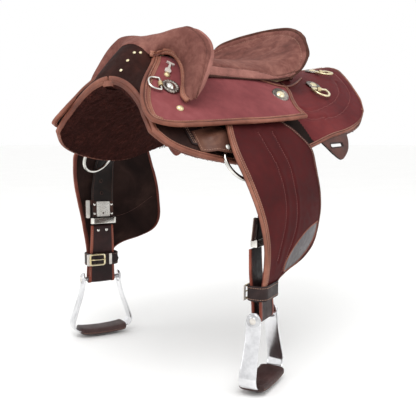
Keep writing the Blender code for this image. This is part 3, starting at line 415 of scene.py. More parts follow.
def suede(name, dark, mid, light, blotch=11.0):
    m = Mat(name, rough=0.92, sheen=0.10, sheen_rough=0.45, tint=hexc("#C09080"), spec=0.12)
    big = m.noise(blotch, 6, 0.62, 0.6)
    mid_n = m.noise(46, 5, 0.6, 1.2)
    brushed = m.noise(30, 4, 0.6, 1.5, m.stretch(1.0, 3.2, 1.6, (0.3, 0.2, 0.6)))
    f = m.math("ADD", m.math("MULTIPLY", big, 0.52), m.math("MULTIPLY", mid_n, 0.34))
    f = m.math("ADD", f, m.math("MULTIPLY", brushed, 0.14))
    c = m.ramp(f, [(0.36, dark), (0.50, mid), (0.64, light)])
    fine = m.noise(1400, 3, 0.7)
    c = m.mix(c, m.ramp(fine, [(0.3, 0.62), (0.7, 1.0)]), 0.22, "MULTIPLY")
    m.colour(c)
    m.bump(m.noise(22, 4, 0.6, 1.0), 0.0016, 0.5)
    m.bump(m.noise(160, 5, 0.7), 0.0005, 0.6)
    m.bump(fine, 0.00022, 0.7)
    m.rough(m.span(mid_n, 0.3, 0.7, 0.84, 0.98))
    return m.m


def woven(name, dark, mid, light, pitch=0.0011, strength=0.5):
    """Close-woven synthetic cloth; its threads follow the sheet."""
    m = Mat(name, rough=0.74, sheen=0.02, sheen_rough=0.35, tint=hexc("#B06A6C"), spec=0.10)
    u, v = m.uvs(2 * pi / pitch, 2 * pi / pitch, 0.0)
    su, sv = m.math("SINE", u), m.math("SINE", v)
    over = m.math("MULTIPLY", m.math("SINE", m.math("MULTIPLY", u, 0.5)), m.math("SINE", m.math("MULTIPLY", v, 0.5)))
    cross = m.math("ADD", m.math("MULTIPLY", m.math("ADD", su, sv), 0.22), m.math("MULTIPLY", over, 0.30))
    weave = m.math("ADD", m.math("MULTIPLY", cross, 0.5), 0.5)
    big = m.noise(7, 4, 0.55, 0.4)
    mid_n = m.noise(70, 4, 0.6)
    f = m.math("ADD", m.math("MULTIPLY", big, 0.7), m.math("MULTIPLY", mid_n, 0.3))
    c = m.ramp(f, [(0.34, dark), (0.52, mid), (0.68, light)])
    c = m.mix(c, m.ramp(weave, [(0.15, 0.62), (0.75, 1.0)]), 0.45, "MULTIPLY")
    lint = m.noise(900, 2, 0.6, 0, m.stretch(1, 6, 1))
    c = m.mix(c, light, m.span(lint, 0.66, 0.80, 0.0, 0.35))
    m.colour(c)
    m.bump(m.noise(16, 3, 0.5, 0.5), 0.0010, 0.35)
    m.bump(weave, 0.00016, strength)
    m.rough(m.span(mid_n, 0.3, 0.7, 0.62, 0.80))
    return m.m


def leather(name, dark, mid, light, rough=0.5, grain=520.0, bump=0.5, wear=0.25, coat=0.0, spec=0.45):
    m = Mat(name, rough=rough, spec=spec * 0.6, coat=coat, coat_rough=0.35)
    big = m.noise(19, 5, 0.6, 0.5)
    fine = m.cells(grain)
    pores = m.noise(grain * 1.7, 3, 0.6)
    c = m.ramp(big, [(0.33, dark), (0.52, mid), (0.70, light)])
    c = m.mix(c, m.ramp(fine, [(0.0, 0.70), (0.45, 1.0)]), 0.5, "MULTIPLY")
    geo = m.node("ShaderNodeNewGeometry")
    edge = m.span(geo.outputs["Pointiness"], 0.51, 0.60, 0.0, 1.0)
    c = m.mix(c, light, m.math("MULTIPLY", edge, wear))
    m.colour(c)
    m.bump(m.noise(60, 4, 0.6, 0.7), 0.0006, 0.4)
    m.bump(fine, 0.00018, bump)
    m.bump(pores, 0.00008, bump)
    m.rough(m.span(m.noise(110, 4, 0.6), 0.3, 0.7, rough - 0.10, rough + 0.10))
    return m.m


def fleece(name, dark, mid, light):
    m = Mat(name, rough=0.98, sheen=0.25, sheen_rough=0.6, tint=hexc("#8A4438"), spec=0.1)
    curls = m.noise(210, 6, 0.72, 1.6)
    tufts = m.noise(52, 5, 0.7, 1.0)
    f = m.math("ADD", m.math("MULTIPLY", curls, 0.6), m.math("MULTIPLY", tufts, 0.4))
    c = m.ramp(f, [(0.36, dark), (0.54, mid), (0.72, light)])
    m.colour(c)
    m.bump(tufts, 0.004, 0.8)
    m.bump(curls, 0.0022, 1.0)
    m.bump(m.noise(900, 4, 0.75), 0.0006, 1.0)
    return m.m


def felt(name, dark, mid, light):
    m = Mat(name, rough=0.95, sheen=0.12, sheen_rough=0.5, tint=hexc("#6A4A40"), spec=0.15)
    big = m.noise(14, 5, 0.6, 0.5)
    fine = m.noise(640, 5, 0.75, 0.8)
    c = m.ramp(big, [(0.34, dark), (0.54, mid), (0.72, light)])
    c = m.mix(c, m.ramp(fine, [(0.28, 0.45), (0.62, 1.0)]), 0.55, "MULTIPLY")
    m.colour(c)
    m.bump(m.noise(120, 4, 0.6), 0.0007, 0.5)
    m.bump(fine, 0.0004, 0.8)
    return m.m


def metal(name, dark, light, rough=0.2, scratch=0.25, grain=(1, 1, 1), coat=0.0, dents=0.0, part=1.0):
    m = Mat(name, rough=rough, metal=part, coat=coat)
    big = m.noise(40, 4, 0.6)
    lines = m.noise(420, 3, 0.6, 0.0, m.stretch(*grain))
    c = m.ramp(big, [(0.35, dark), (0.62, light)])
    m.colour(c)
    m.bump(lines, 0.00004, scratch)
    if dents:
        m.bump(m.noise(120, 3, 0.5), 0.0003, dents)
    m.rough(m.span(lines, 0.3, 0.7, max(rough - 0.04, 0.04), rough + 0.05))
    return m.m


def thread(name, dark, light):
    m = Mat(name, rough=0.7, spec=0.35, sheen=0.1)
    tw = m.noise(2600, 2, 0.5)
    m.colour(m.ramp(tw, [(0.35, dark), (0.65, light)]))
    m.bump(tw, 0.0001, 0.6)
    return m.m


M = {
    "suede": suede("suede", "#54322D", "#70463F", "#8D6056"),
    "suede_roll": suede("suede_roll", "#785049", "#906159", "#A47268", 30.0),
    "suede_rim": suede("suede_rim", "#40271F", "#54352D", "#6A463C", 30.0),
    "suede_dark": suede("suede_dark", "#34201B", "#452C26", "#593B33", 30.0),
    "burgundy": woven("burgundy_cloth", "#713639", "#864648", "#965658"),
    "burgundy_dark": woven("burgundy_cloth_dark", "#3A1213", "#4A1819", "#5A2222"),
    "skirt": woven("skirt_cloth", "#531E21", "#65282A", "#753333"),
    "binding": leather("binding_leather", "#5E3329", "#794838", "#925D4C", 0.55, 480, 0.45, 0.35),
    "binding_pink": leather("binding_leather_light", "#704434", "#8A5746", "#A06C59", 0.60, 480, 0.45, 0.35),
    "binding_red": leather("binding_leather_red", "#4E2219", "#622C21", "#793C2E", 0.55, 480, 0.45, 0.30),
    "binding_deep": leather("binding_leather_deep", "#4E2A20", "#67392C", "#80503F", 0.58, 480, 0.45, 0.35),
    "edge_red": leather("edge_leather_red", "#341613", "#45201B", "#5D3029", 0.55, 480, 0.45, 0.30),
    "groove": leather("pressed_groove", "#2E1611", "#3E2019", "#512C23", 0.7, 600, 0.4, 0.1),
    # painted shade: near-black colour laid on the skirt under the jockey's front, not a separate backing leather
    "backing": leather("painted_shade_leather", "#1D0F0C", "#2A1713", "#3D2620", 0.6, 420, 0.5, 0.2, 0.0, 0.25),
    "facing": leather("facing_leather", "#200E0B", "#2B1511", "#3A1F1A", 0.72, 420, 0.6, 0.20, 0.0, 0.15),
    "dark": leather("dark_leather", "#190D0C", "#221312", "#31201E", 0.48, 480, 0.5, 0.40),
    "strap": leather("strap_leather", "#140E0D", "#1D1513", "#2C201B", 0.48, 420, 0.5, 0.5),
    "slider": leather("slider_leather", "#2B1814", "#3B231D", "#50342B", 0.46, 480, 0.5, 0.5),
    "tan": leather("tan_leather", "#6A3024", "#7E3D2E", "#95513E", 0.48, 450, 0.5, 0.35),
    "tongue": leather("tongue_leather", "#1C0A0A", "#260F0F", "#361A19", 0.5, 450, 0.5, 0.3),
    "tab": leather("tab_leather", "#391C15", "#4C271E", "#64382B", 0.36, 420, 0.5, 0.3, 0.10),
    "plate": leather("plate_leather", "#462A21", "#5C3A2E", "#75503F", 0.50, 420, 0.5, 0.3),
    "tread": leather("tread_leather", "#2C1A18", "#3D2725", "#574240", 0.38, 380, 0.6, 0.6),
    "edge": leather("edge_paint", "#120C0B", "#1B1311", "#2A201D", 0.35, 800, 0.3, 0.3),
    "patch": leather("worn_patch", "#231B1D", "#352D30", "#4E464A", 0.36, 260, 0.9, 0.3, 0.2),
    "fleece": fleece("panel_fleece", "#0D0504", "#29120F", "#64342A"),
    "felt": felt("fender_felt", "#1D1210", "#2B1C19", "#3C2A25"),
    "shade": felt("shaded_leather", "#150D0B", "#201411", "#2E1E1A"),
    "nickel": metal("nickel_plate", "#B9B6B0", "#E6E4DE", 0.14, 0.2),
    # painted reflection: only partly metallic over a near-white base, so plate, hook and rivets read bright in shade
    # where polished nickel would mirror dark leather
    "bright": metal("nickel_painted_bright", "#D8D4CC", "#F4F2EC", 0.28, 0.1, part=0.35),
    # painted reflection: only partly metallic over a pale base, so slider bar, keepers and bosses read bright where
    # plated metal would mirror dark leather
    "satin": metal("satin_plate_painted_bright", "#C9C3BC", "#EDE8E2", 0.36, 0.3, (1, 8, 1), part=0.45),
    "brass": metal("brass", "#B8A077", "#E0CFA6", 0.22, 0.3, part=0.65),
    "brass_light": metal("brass_bright", "#CDBD93", "#F2E8C8", 0.20, 0.2, dents=0.2, part=0.75),
    "antique": metal("antique_silver", "#4A4441", "#A39B93", 0.30, 0.5, dents=0.7),
    "alu": metal("cast_aluminium", "#D2D2D4", "#ECECEE", 0.20, 0.05, (1, 1, 0.12)),
    "alu_edge": metal("cast_aluminium_worn", "#B4B4B6", "#DADADC", 0.30, 0.08, (1, 1, 0.12)),
    "steel": metal("steel_rod", "#8E8F92", "#BFC0C2", 0.3, 0.4),
    "thread": thread("thread_tan", "#96705E", "#B8917D"),
    "thread_dark": thread("thread_maroon", "#844644", "#A26561"),
    "thread_brown": thread("thread_brown", "#4A2C26", "#6E473D"),
    # painted shade: near-black colour for the inside of the strap holes
    "painted_hole_shade": leather("hole_black", "#050404", "#080606", "#0D0A09", 0.9, 600, 0.2, 0.0),
}

wood = Mat("tree_wood", rough=0.6)
grain_f = wood.noise(34, 5, 0.6, 2.2, wood.stretch(6, 0.6, 6))
wood.colour(wood.ramp(grain_f, [(0.3, "#7A6146"), (0.55, "#9C8060"), (0.75, "#B79A76")]))
wood.bump(grain_f, 0.0006, 0.6)
M["wood"] = wood.m

# ================================================================ mesh making
LEFT = []            # pieces of the left side, with what they need for the right


def bmesh_fix(me):
    bm = bmesh.new()
    bm.from_mesh(me)
    bmesh.ops.recalc_face_normals(bm, faces=bm.faces)
    bm.to_mesh(me)
    bm.free()


def make(name, verts, faces, mats, body="saddle", slot=None, rep=(), uv=None, face_mat=None, sharp=None,
         fill=None, smooth=True, fix=True):
    me = bpy.data.meshes.new(name)
    v = np.array(verts, float)
    v[:, 2] -= DATUM
    me.from_pydata(v.tolist(), [], [tuple(int(q) for q in f) for f in faces])
    mats = mats if isinstance(mats, (list, tuple)) else [mats]
    for m in mats:
        me.materials.append(M[m])
    if face_mat is not None:
        me.polygons.foreach_set("material_index", np.asarray(face_mat, np.int32))
    if uv is None:
        uv = v[:, :2] + v[:, 2:3] * np.array([[0.31, 0.47]])
    idx = np.zeros(len(me.loops), np.int32)
    me.loops.foreach_get("vertex_index", idx)
    layer = me.uv_layers.new(name="UVMap")
    layer.data.foreach_set("uv", np.asarray(uv, np.float32)[idx].ravel())
    if fix:
        bmesh_fix(me)
    me.polygons.foreach_set("use_smooth", np.full(len(me.polygons), smooth))
    if sharp:
        me.set_sharp_from_angle(angle=math.radians(sharp))
    ob = bpy.data.objects.new(name, me)
    SCENE.collection.objects.link(ob)
    finish_piece(ob, body, rep)
    if name.startswith("left_"):
        LEFT.append((ob, body, slot, rep, fill))
    return ob


def finish_piece(ob, body, rep):
    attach(ob, body)
    if rep:
        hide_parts(*rep)


def other_side(s):
    return s.replace("left_", "right_", 1)


def mirror_all():
    for ob, body, slot, rep, fill in LEFT:
        me = ob.data.copy()
        co = np.zeros(len(me.vertices) * 3)
        me.vertices.foreach_get("co", co)
        co = co.reshape(-1, 3)
        co[:, 0] *= -1
        me.vertices.foreach_set("co", co.ravel())
        me.flip_normals()
        me.update()
        twin = bpy.data.objects.new(other_side(ob.name), me)
        SCENE.collection.objects.link(twin)
        finish_piece(twin, other_side(body), [other_side(r) for r in rep])


def grid_normals(G, up):
    n = unit(np.cross(np.gradient(G, axis=0), np.gradient(G, axis=1)))
    if (n @ np.asarray(up, float)).mean() < 0:
        n = -n
    return n


def metric_uv(G):
    su = np.concatenate([[0], np.cumsum(np.linalg.norm(np.diff(G, axis=0), axis=2).mean(1))])
    sv = np.concatenate([[0], np.cumsum(np.linalg.norm(np.diff(G, axis=1), axis=2).mean(0))])
    a, b = np.meshgrid(su, sv, indexing="ij")
    return np.stack([a, b], -1)


def around(nu, nv):
    loop = ([(i, 0) for i in range(nu)] + [(nu - 1, j) for j in range(1, nv)]
            + [(i, nv - 1) for i in range(nu - 2, -1, -1)] + [(0, j) for j in range(nv - 2, 0, -1)])
    return np.array([a for a, _ in loop]), np.array([b for _, b in loop])


def slab_mesh(G, t, up, top=None, bot=None, edge=0.4):
    """Closed sheet: outer face G, thickness t under it, rounded rim."""
    nu, nv = G.shape[:2]
    N = grid_normals(G, up)
    t = np.broadcast_to(np.asarray(t, float), (nu, nv))
    T, B = G.copy(), G - N * t[..., None]
    if top is not None:
        T = T + N * top[..., None]
    if bot is not None:
        B = B - N * bot[..., None]
    I, J = around(nu, nv)
    Ii, Ji = np.clip(I, 1, nu - 2), np.clip(J, 1, nv - 2)
    n = N[I, J]
    o = perp(G[I, J] - G[Ii, Ji], n)
    r = (t[I, J] * 0.5 * edge)[:, None]
    Tb, Bb = T[I, J].copy(), B[I, J].copy()
    T[I, J] = Tb - o * r
    B[I, J] = Bb - o * r
    rings = []
    for k in (1, 2, 3):
        a = k * pi / 4
        f = (1 - math.cos(a)) / 2
        rings.append(Tb * (1 - f) + Bb * f - o * r * (1 - math.sin(a)))
    m = len(I)
    verts = np.vstack([T.reshape(-1, 3), B.reshape(-1, 3)] + rings)
    q = np.arange(nu * nv).reshape(nu, nv)
    quads = np.stack([q[:-1, :-1], q[1:, :-1], q[1:, 1:], q[:-1, 1:]], -1).reshape(-1, 4)
    low = quads[:, ::-1] + nu * nv
    loop = I * nv + J
    strips = []
    levels = [loop] + [2 * nu * nv + k * m + np.arange(m) for k in range(3)] + [loop + nu * nv]
    for a, b in zip(levels, levels[1:]):
        strips.append(np.stack([a, b, np.roll(b, -1), np.roll(a, -1)], -1))
    faces = np.vstack([quads, low] + strips)
    fm = np.zeros(len(faces), int)
    fm[len(quads):2 * len(quads)] = 1
    uv = metric_uv(G).reshape(-1, 2)
    uv = np.vstack([uv, uv, uv[loop], uv[loop], uv[loop]])
    return verts, faces, fm, uv, T, N


def slab(name, G, t, mats, up, body="saddle", slot=None, rep=(), top=None, bot=None, edge=0.4, fill=None, region=None):
    verts, faces, fm, uv, T, N = slab_mesh(G, t, up, top, bot, edge)
    mats = mats if isinstance(mats, (list, tuple)) else [mats]
    if region is not None:
        fm[:(G.shape[0] - 1) * (G.shape[1] - 1)] = region.ravel()
    make(name, verts, faces, mats, body, slot, rep, uv, fm if len(mats) > 1 else None, fill=fill)
    return tree_of(T), T, N


def tree_of(T):
    nu, nv = T.shape[:2]
    q = np.arange(nu * nv).reshape(nu, nv)
    quads = np.stack([q[:-1, :-1], q[1:, :-1], q[1:, 1:], q[:-1, 1:]], -1).reshape(-1, 4)
    return BVHTree.FromPolygons([Vector(p) for p in T.reshape(-1, 3)], quads.tolist())


def rings_mesh(R, closed_path=False, caps=True):
    """R is (stations, section points, 3); each section is a closed loop."""
    m, k = R.shape[:2]
    verts = R.reshape(-1, 3)
    q = np.arange(m * k).reshape(m, k)
    a = q if closed_path else q[:-1]
    b = np.roll(q, -1, axis=0) if closed_path else q[1:]
    faces = np.stack([a, np.roll(a, -1, axis=1), np.roll(b, -1, axis=1), b], -1).reshape(-1, 4).tolist()
    if caps and not closed_path:
        faces.append(list(range(k)))
        faces.append(list(range((m - 1) * k, m * k)))
    s = np.concatenate([[0], np.cumsum(np.linalg.norm(np.diff(R.mean(1), axis=0), axis=1))])
    w = np.concatenate([[0], np.cumsum(np.linalg.norm(np.diff(R, axis=1), axis=2).mean(0))])
    uv = np.stack(np.meshgrid(s, w, indexing="ij"), -1).reshape(-1, 2)
    return verts, faces, uv


def swept(name, P, A, B, prof, mats, body="saddle", closed=False, **kw):
    """Section in axes A, B along P."""
    P, A, B, prof = (np.asarray(x, float) for x in (P, A, B, prof))
    if prof.ndim == 2:
        prof = np.broadcast_to(prof, (len(P),) + prof.shape)
    R = P[:, None] + A[:, None] * prof[..., 0:1] + B[:, None] * prof[..., 1:2]
    v, f, uv = rings_mesh(R, closed)
    return make(name, v, f, mats, body, uv=uv, **kw)


def tangents(P, closed=False):
    if closed:
        return unit(np.roll(P, -1, axis=0) - np.roll(P, 1, axis=0))
    return unit(np.gradient(P, axis=0))


def circle(k, ra, rb=None, power=1.0):
    rb = rb or ra
    a = np.arange(k) * 2 * pi / k
    c, s = np.cos(a), np.sin(a)
    if power != 1.0:
        c = np.sign(c) * np.abs(c) ** power
        s = np.sign(s) * np.abs(s) ** power
    return np.stack([c * ra, s * rb], -1)


def tube(name, P, r, hint, mats, body="saddle", closed=False, k=14, rb=None, **kw):
    """Round (or oval: r along hint, rb across) wire along P."""
    P = np.asarray(P, float)
    T = tangents(P, closed)
    A = perp(np.broadcast_to(np.asarray(hint, float), P.shape), T)
    return swept(name, P, A, np.cross(T, A), circle(k, r, rb), mats, body, closed, **kw)


def chain(G, N, sides, step=0.003):
    """Boundary of a grid as one path: points, normals, outward directions."""
    parts = []
    for side, a, b in sides:
        n = G.shape[0] if side[0] == "v" else G.shape[1]
        lo, hi = int(round(min(a, b) * (n - 1))), int(round(max(a, b) * (n - 1)))
        idx = np.arange(lo, hi + 1)
        if b < a:
            idx = idx[::-1]
        if side == "u0":
            q, w, z = G[0, idx], G[1, idx], N[0, idx]
        elif side == "u1":
            q, w, z = G[-1, idx], G[-2, idx], N[-1, idx]
        elif side == "v0":
            q, w, z = G[idx, 0], G[idx, 1], N[idx, 0]
        else:
            q, w, z = G[idx, -1], G[idx, -2], N[idx, -1]
        parts.append((q, z, q - w))
    P = np.vstack([p[0] for p in parts])
    Z = np.vstack([p[1] for p in parts])
    O = np.vstack([unit(p[2]) for p in parts])
    keep = np.concatenate([[True], np.linalg.norm(np.diff(P, axis=0), axis=1) > 1e-6])
    P, Z, O = P[keep], Z[keep], O[keep]
    s = np.concatenate([[0], np.cumsum(np.linalg.norm(np.diff(P, axis=0), axis=1))])
    q = np.linspace(0, s[-1], max(4, int(s[-1] / step)))
    P, Z, O = (np.stack([np.interp(q, s, X[:, k]) for k in range(3)], -1) for X in (P, Z, O))
    Z = smooth_rows(Z, 3)
    for _ in range(4):
        O = smooth_rows(O, 1)
    O = perp(O, Z)
    return P, Z, O


def bind_profile(w, t, th, over=0.0003, w2=None, ridge_at=None):
    """Folded edge strip round a sheet of thickness t: top width w, under width w2."""
    w2 = w2 or w
    top = [(-w, -0.0003), (-w - 0.0001, over + th * 0.35), (-w + th * 0.35, over + th * 0.95), (-w + th, over + th * 1.10),
           (-w * 0.66, over + th * 0.98), (-w * 0.56, over + th * 0.30), (-w * 0.50, over + th * 0.30),
           (-w * 0.40, over + th * 1.0), (-w * 0.2, over + th * 1.15)]
    nose = [(th * 0.10, over + th * 0.75), (th * 0.75, over * 0.2 - t * 0.06), (th * 1.05, -t * 0.30), (th * 1.12, -t * 0.5),
            (th * 1.05, -t * 0.70), (th * 0.75, -t * 0.94 - over * 0.2), (th * 0.10, -t - over - th * 0.75)]
    low = [(-w2 * 0.3, -t - over - th), (-w2 * 0.7, -t - over - th), (-w2 + th * 0.5, -t - over - th * 0.8), (-w2, -t + 0.0003)]
    return np.array(top + nose + low)


def groove_line(name, P, Z, O, w, th, body):
    """Dark pressed line along the middle of an edge strip."""
    prof = np.array([(-0.0008, -0.0003), (-0.0007, 0.0), (0.0, 0.0001), (0.0007, 0.0), (0.0008, -0.0003), (0.0, -0.0005)])
    line = P - O * (w * 0.53) + Z * (0.0003 + th * 0.55)
    prof = prof[None] * (1 + 0.15 * vnoise(P, 0.011, 91))[:, None, None]
    return swept(name, line, O, Z, prof, "groove", body)


def binding(name, P, Z, O, w, t, th=0.0011, mat="binding", body="saddle", w2=None, wob=0.10, seed=1, **kw):
    groove_line(name + "_groove", P, Z, O, w, th, body)
    prof = bind_profile(w, t, th, w2=w2)
    n1 = vnoise(P, 0.021, seed) * wob + vnoise(P, 0.008, seed + 1) * wob * 0.5
    centre = np.array([-w * 0.3, -t / 2])
    prof = centre + (prof - centre)[None] * (1 + n1[:, None, None] * np.array([0.5, 1.0]))
    return swept(name, P, O, Z, prof, mat, body, **kw)


def stitches(name, lines, mat="thread", body="saddle", pitch=0.0042, long=0.0029, r=0.00042, slot=None, rise=0.00005):
    """Row of saddle stitches along lines given as (points, normals)."""
    k = 6
    rad = np.array([0.25, 0.85, 1.0, 1.0, 0.85, 0.25])
    xs = np.array([-0.5, -0.36, -0.12, 0.12, 0.36, 0.5])
    hs = np.array([-0.9, -0.15, 0.25, 0.25, -0.15, -0.9])
    a = np.arange(k) * 2 * pi / k
    tv = np.array([[x * long, rr * r * math.cos(t), h * r + rr * r * math.sin(t)]
                   for x, rr, h in zip(xs, rad, hs) for t in a])
    tf = [(i * k + j, i * k + (j + 1) % k, (i + 1) * k + (j + 1) % k, (i + 1) * k + j)
          for i in range(len(xs) - 1) for j in range(k)]
    tf += [tuple(range(k)), tuple(range((len(xs) - 1) * k, len(xs) * k))]
    V, F = [], []
    for P, Z in lines:
        if P is None or len(P) < 2:
            continue
        s = np.concatenate([[0], np.cumsum(np.linalg.norm(np.diff(P, axis=0), axis=1))])
        n = int(s[-1] / pitch)
        if n < 1:
            continue
        q = (np.arange(n) + 0.5) * pitch + (s[-1] - n * pitch) / 2
        C = np.stack([np.interp(q, s, P[:, c]) for c in range(3)], -1)
        Zq = unit(np.stack([np.interp(q, s, Z[:, c]) for c in range(3)], -1))
        Tq = np.stack([np.interp(q + pitch * 0.3, s, P[:, c]) - np.interp(q - pitch * 0.3, s, P[:, c]) for c in range(3)], -1)
        Tq = perp(Tq, Zq)
        Lq = np.cross(Zq, Tq)
        for c, t_, l_, z_ in zip(C, Tq, Lq, Zq):
            base = len(V) * len(tv)
            V.append(c + z_ * rise + tv[:, 0:1] * t_ + tv[:, 1:2] * l_ + tv[:, 2:3] * z_)
            F += [tuple(base + i for i in f) for f in tf]
    if not V:
        return None
    return make(name, np.vstack(V), F, mat, body, slot, fix=True)


def offset_line(tree, P, Z, O, d, lift_by=0.0):
    """Line d inside a boundary, back on the surface."""
    Q, n = settle(tree, P - O * d, None)
    n = np.where((dot(n, Z) < 0)[:, None], -n, n)
    return Q + n * lift_by, n


def band(name, P, Z, w, h, mat, body="saddle", sink=0.0006, **kw):
    """Low flat strip lying on a surface along a line."""
    T = tangents(P)
    L = np.cross(Z, T)
    prof = np.array([(-w / 2, -sink), (-w / 2, h * 0.45), (-w / 2 + h * 0.5, h * 0.9), (-w * 0.22, h), (0, h * 1.03),
                     (w * 0.22, h), (w / 2 - h * 0.5, h * 0.9), (w / 2, h * 0.45), (w / 2, -sink)])
    return swept(name, P, L, Z, prof, mat, body, **kw)


def turned(name, prof, c, n, mats, body="saddle", steps=28, lobes=0, depth=0.0, from_r=0.0, face_mat=None, **kw):
    """Solid of revolution about n through c; its rim may be scalloped."""
    n = unit(n)
    x = perp(np.array([0.3, 1.0, 0.1]), n)
    y = np.cross(n, x)
    a = np.arange(steps) * 2 * pi / steps
    verts, faces, fm = [c + n * prof[0][1]], [], []
    rows = prof[1:-1]
    for r, z in rows:
        k = 1 + (depth * (0.5 + 0.5 * np.cos(a * lobes)) if lobes and r >= from_r else 0) * np.ones(steps)
        verts += [c + n * z + (x * math.cos(t) + y * math.sin(t)) * r * kk for t, kk in zip(a, k)]
    verts.append(c + n * prof[-1][1])
    last = len(verts) - 1
    for j in range(steps):
        faces.append((0, 1 + j, 1 + (j + 1) % steps))
        fm.append(0)
    for i in range(len(rows) - 1):
        for j in range(steps):
            a0 = 1 + i * steps
            faces.append((a0 + j, a0 + steps + j, a0 + steps + (j + 1) % steps, a0 + (j + 1) % steps))
            fm.append(i + 1)
    a0 = 1 + (len(rows) - 1) * steps
    for j in range(steps):
        faces.append((last, a0 + (j + 1) % steps, a0 + j))
        fm.append(len(rows))
    if face_mat:
        fm = [face_mat(i) for i in fm]
    else:
        fm = None
    return make(name, np.array(verts), faces, mats, body, face_mat=fm, **kw)


def dome(name, c, n, r, h, mat, body="saddle", slotted=False, **kw):
    prof = [(0, h), (r * 0.35, h * 0.96), (r * 0.65, h * 0.78), (r * 0.88, h * 0.45), (r, h * 0.12), (r, -0.0008), (0, -0.0008)]
    return turned(name, prof, np.asarray(c, float), n, mat, body, **kw)


def flat_shape(name, outline, holes, t, origin, zdir, xdir, mats, body="saddle", bevel=0.0006, subdiv=0, **kw):
    """Flat piece with rounded edges, its outline in the local plane."""
    z = unit(zdir)
    x = perp(xdir, z)
    y = np.cross(z, x)
    bm = bmesh.new()
    loops = []
    for pts in [outline] + list(holes):
        vs = [bm.verts.new((p[0], p[1], 0)) for p in pts]
        loops += [bm.edges.new((vs[i], vs[(i + 1) % len(vs)])) for i in range(len(vs))]
    bmesh.ops.triangle_fill(bm, use_beauty=True, use_dissolve=False, edges=loops)
    bmesh.ops.recalc_face_normals(bm, faces=bm.faces)
    if bm.faces[:] and bm.faces[0].normal.z < 0:
        bmesh.ops.reverse_faces(bm, faces=bm.faces)
    geom = bmesh.ops.extrude_face_region(bm, geom=bm.faces[:])
    up = [v for v in geom["geom"] if isinstance(v, bmesh.types.BMVert)]
    bmesh.ops.translate(bm, verts=up, vec=(0, 0, t))
    bmesh.ops.recalc_face_normals(bm, faces=bm.faces)
    if bevel:
        es = [e for e in bm.edges if len(e.link_faces) == 2 and e.calc_face_angle(0) > 0.8
              and abs(e.verts[0].co.z - e.verts[1].co.z) < 1e-7]
        bmesh.ops.bevel(bm, geom=es, offset=bevel, segments=3, profile=0.6, affect="EDGES", clamp_overlap=True)
    bm.verts.ensure_lookup_table()
    o = np.asarray(origin, float)
    verts = np.array([o + x * v.co.x + y * v.co.y + z * v.co.z for v in bm.verts])
    uv = np.array([(v.co.x, v.co.y) for v in bm.verts])
    index = {v: i for i, v in enumerate(bm.verts)}
    faces = [[index[v] for v in f.verts] for f in bm.faces]
    bm.free()
    return make(name, verts, faces, mats, body, uv=uv, sharp=35, **kw)


def round_outline(pts, r, n=5):
    """Outline with its corners rounded."""
    out = []
    m = len(pts)
    for i in range(m):
        p, a, b = (np.array(pts[k], float) for k in (i, i - 1, (i + 1) % m))
        da, db = a - p, b - p
        la, lb = np.linalg.norm(da), np.linalg.norm(db)
        d = min(r, la * 0.45, lb * 0.45)
        s, e = p + da / la * d, p + db / lb * d
        for k in range(n):
            t = k / (n - 1)
            out.append(tuple((1 - t) ** 2 * s + 2 * t * (1 - t) * p + t * t * e))
    return out


# ---------------------------------------------------------------- soft puffing
def puff(verts, faces, pins, pressure, cap, frames=14, bend=0.6):
    """Cloth under inner pressure, held at its seams; no point moves over cap."""
    me = bpy.data.meshes.new("puff")
    me.from_pydata(np.asarray(verts).tolist(), [], [tuple(int(q) for q in f) for f in faces])
    bmesh_fix(me)
    ob = bpy.data.objects.new("puff", me)
    SCENE.collection.objects.link(ob)
    vg = ob.vertex_groups.new(name="pin")
    for i, w in enumerate(pins):
        if w > 0.01:
            vg.add([i], float(min(w, 1.0)), "REPLACE")
    mod = ob.modifiers.new("cloth", "CLOTH")
    st = mod.settings
    st.quality = 6
    st.mass = 0.25
    st.tension_stiffness = st.compression_stiffness = 22
    st.shear_stiffness = 12
    st.bending_stiffness = bend
    st.use_pressure = True
    st.uniform_pressure_force = pressure
    st.vertex_group_mass = "pin"
    st.effector_weights.gravity = 0
    mod.collision_settings.use_collision = False
    mod.point_cache.frame_start, mod.point_cache.frame_end = 1, frames
    for f in range(1, frames + 1):
        SCENE.frame_set(f)
    dg = bpy.context.evaluated_depsgraph_get()
    ev = ob.evaluated_get(dg)
    co = np.zeros(len(verts) * 3)
    ev.data.vertices.foreach_get("co", co)
    co = co.reshape(-1, 3)
    bpy.data.objects.remove(ob)
    bpy.data.meshes.remove(me)
    SCENE.frame_set(1)
    d = co - np.asarray(verts)
    n = np.linalg.norm(d, axis=1, keepdims=True)
    d = d * np.minimum(1.0, cap / np.maximum(n, 1e-9))
    d[~np.isfinite(d)] = 0
    return np.asarray(verts) + d


def refine(ob, levels=1):
    """Apply smooth subdivision to a piece's mesh."""
    mod = ob.modifiers.new("smooth", "SUBSURF")
    mod.levels = mod.render_levels = levels
    mod.uv_smooth = "PRESERVE_BOUNDARIES"
    dg = bpy.context.evaluated_depsgraph_get()
    me = bpy.data.meshes.new_from_object(ob.evaluated_get(dg))
    ob.modifiers.clear()
    old = ob.data
    ob.data = me
    bpy.data.meshes.remove(old)
    me.name = ob.name
    return ob


# ================================================================ skirts and panels
INNER = 0.0030
SKIRT_OUTER = [(0.138, -0.362), (0.157, -0.340), (0.173, -0.303), (0.190, -0.247),
               (0.204, -0.190), (0.214, -0.130), (0.219, -0.060), (0.220, 0.020),
               (0.217, 0.090), (0.207, 0.150), (0.188, 0.196)]
SKIRT_REAR = [(INNER, 0.328), (0.045, 0.312), (0.085, 0.280), (0.126, 0.250), (0.162, 0.225),
              (0.188, 0.196)]
SKIRT_FRONT = [(INNER, -0.345), (0.050, -0.346), (0.095, -0.351), (0.120, -0.358), (0.138, -0.362)]
SKIRT_INNER = [(INNER, -0.345), (INNER, -0.10), (INNER, 0.12), (INNER, 0.328)]


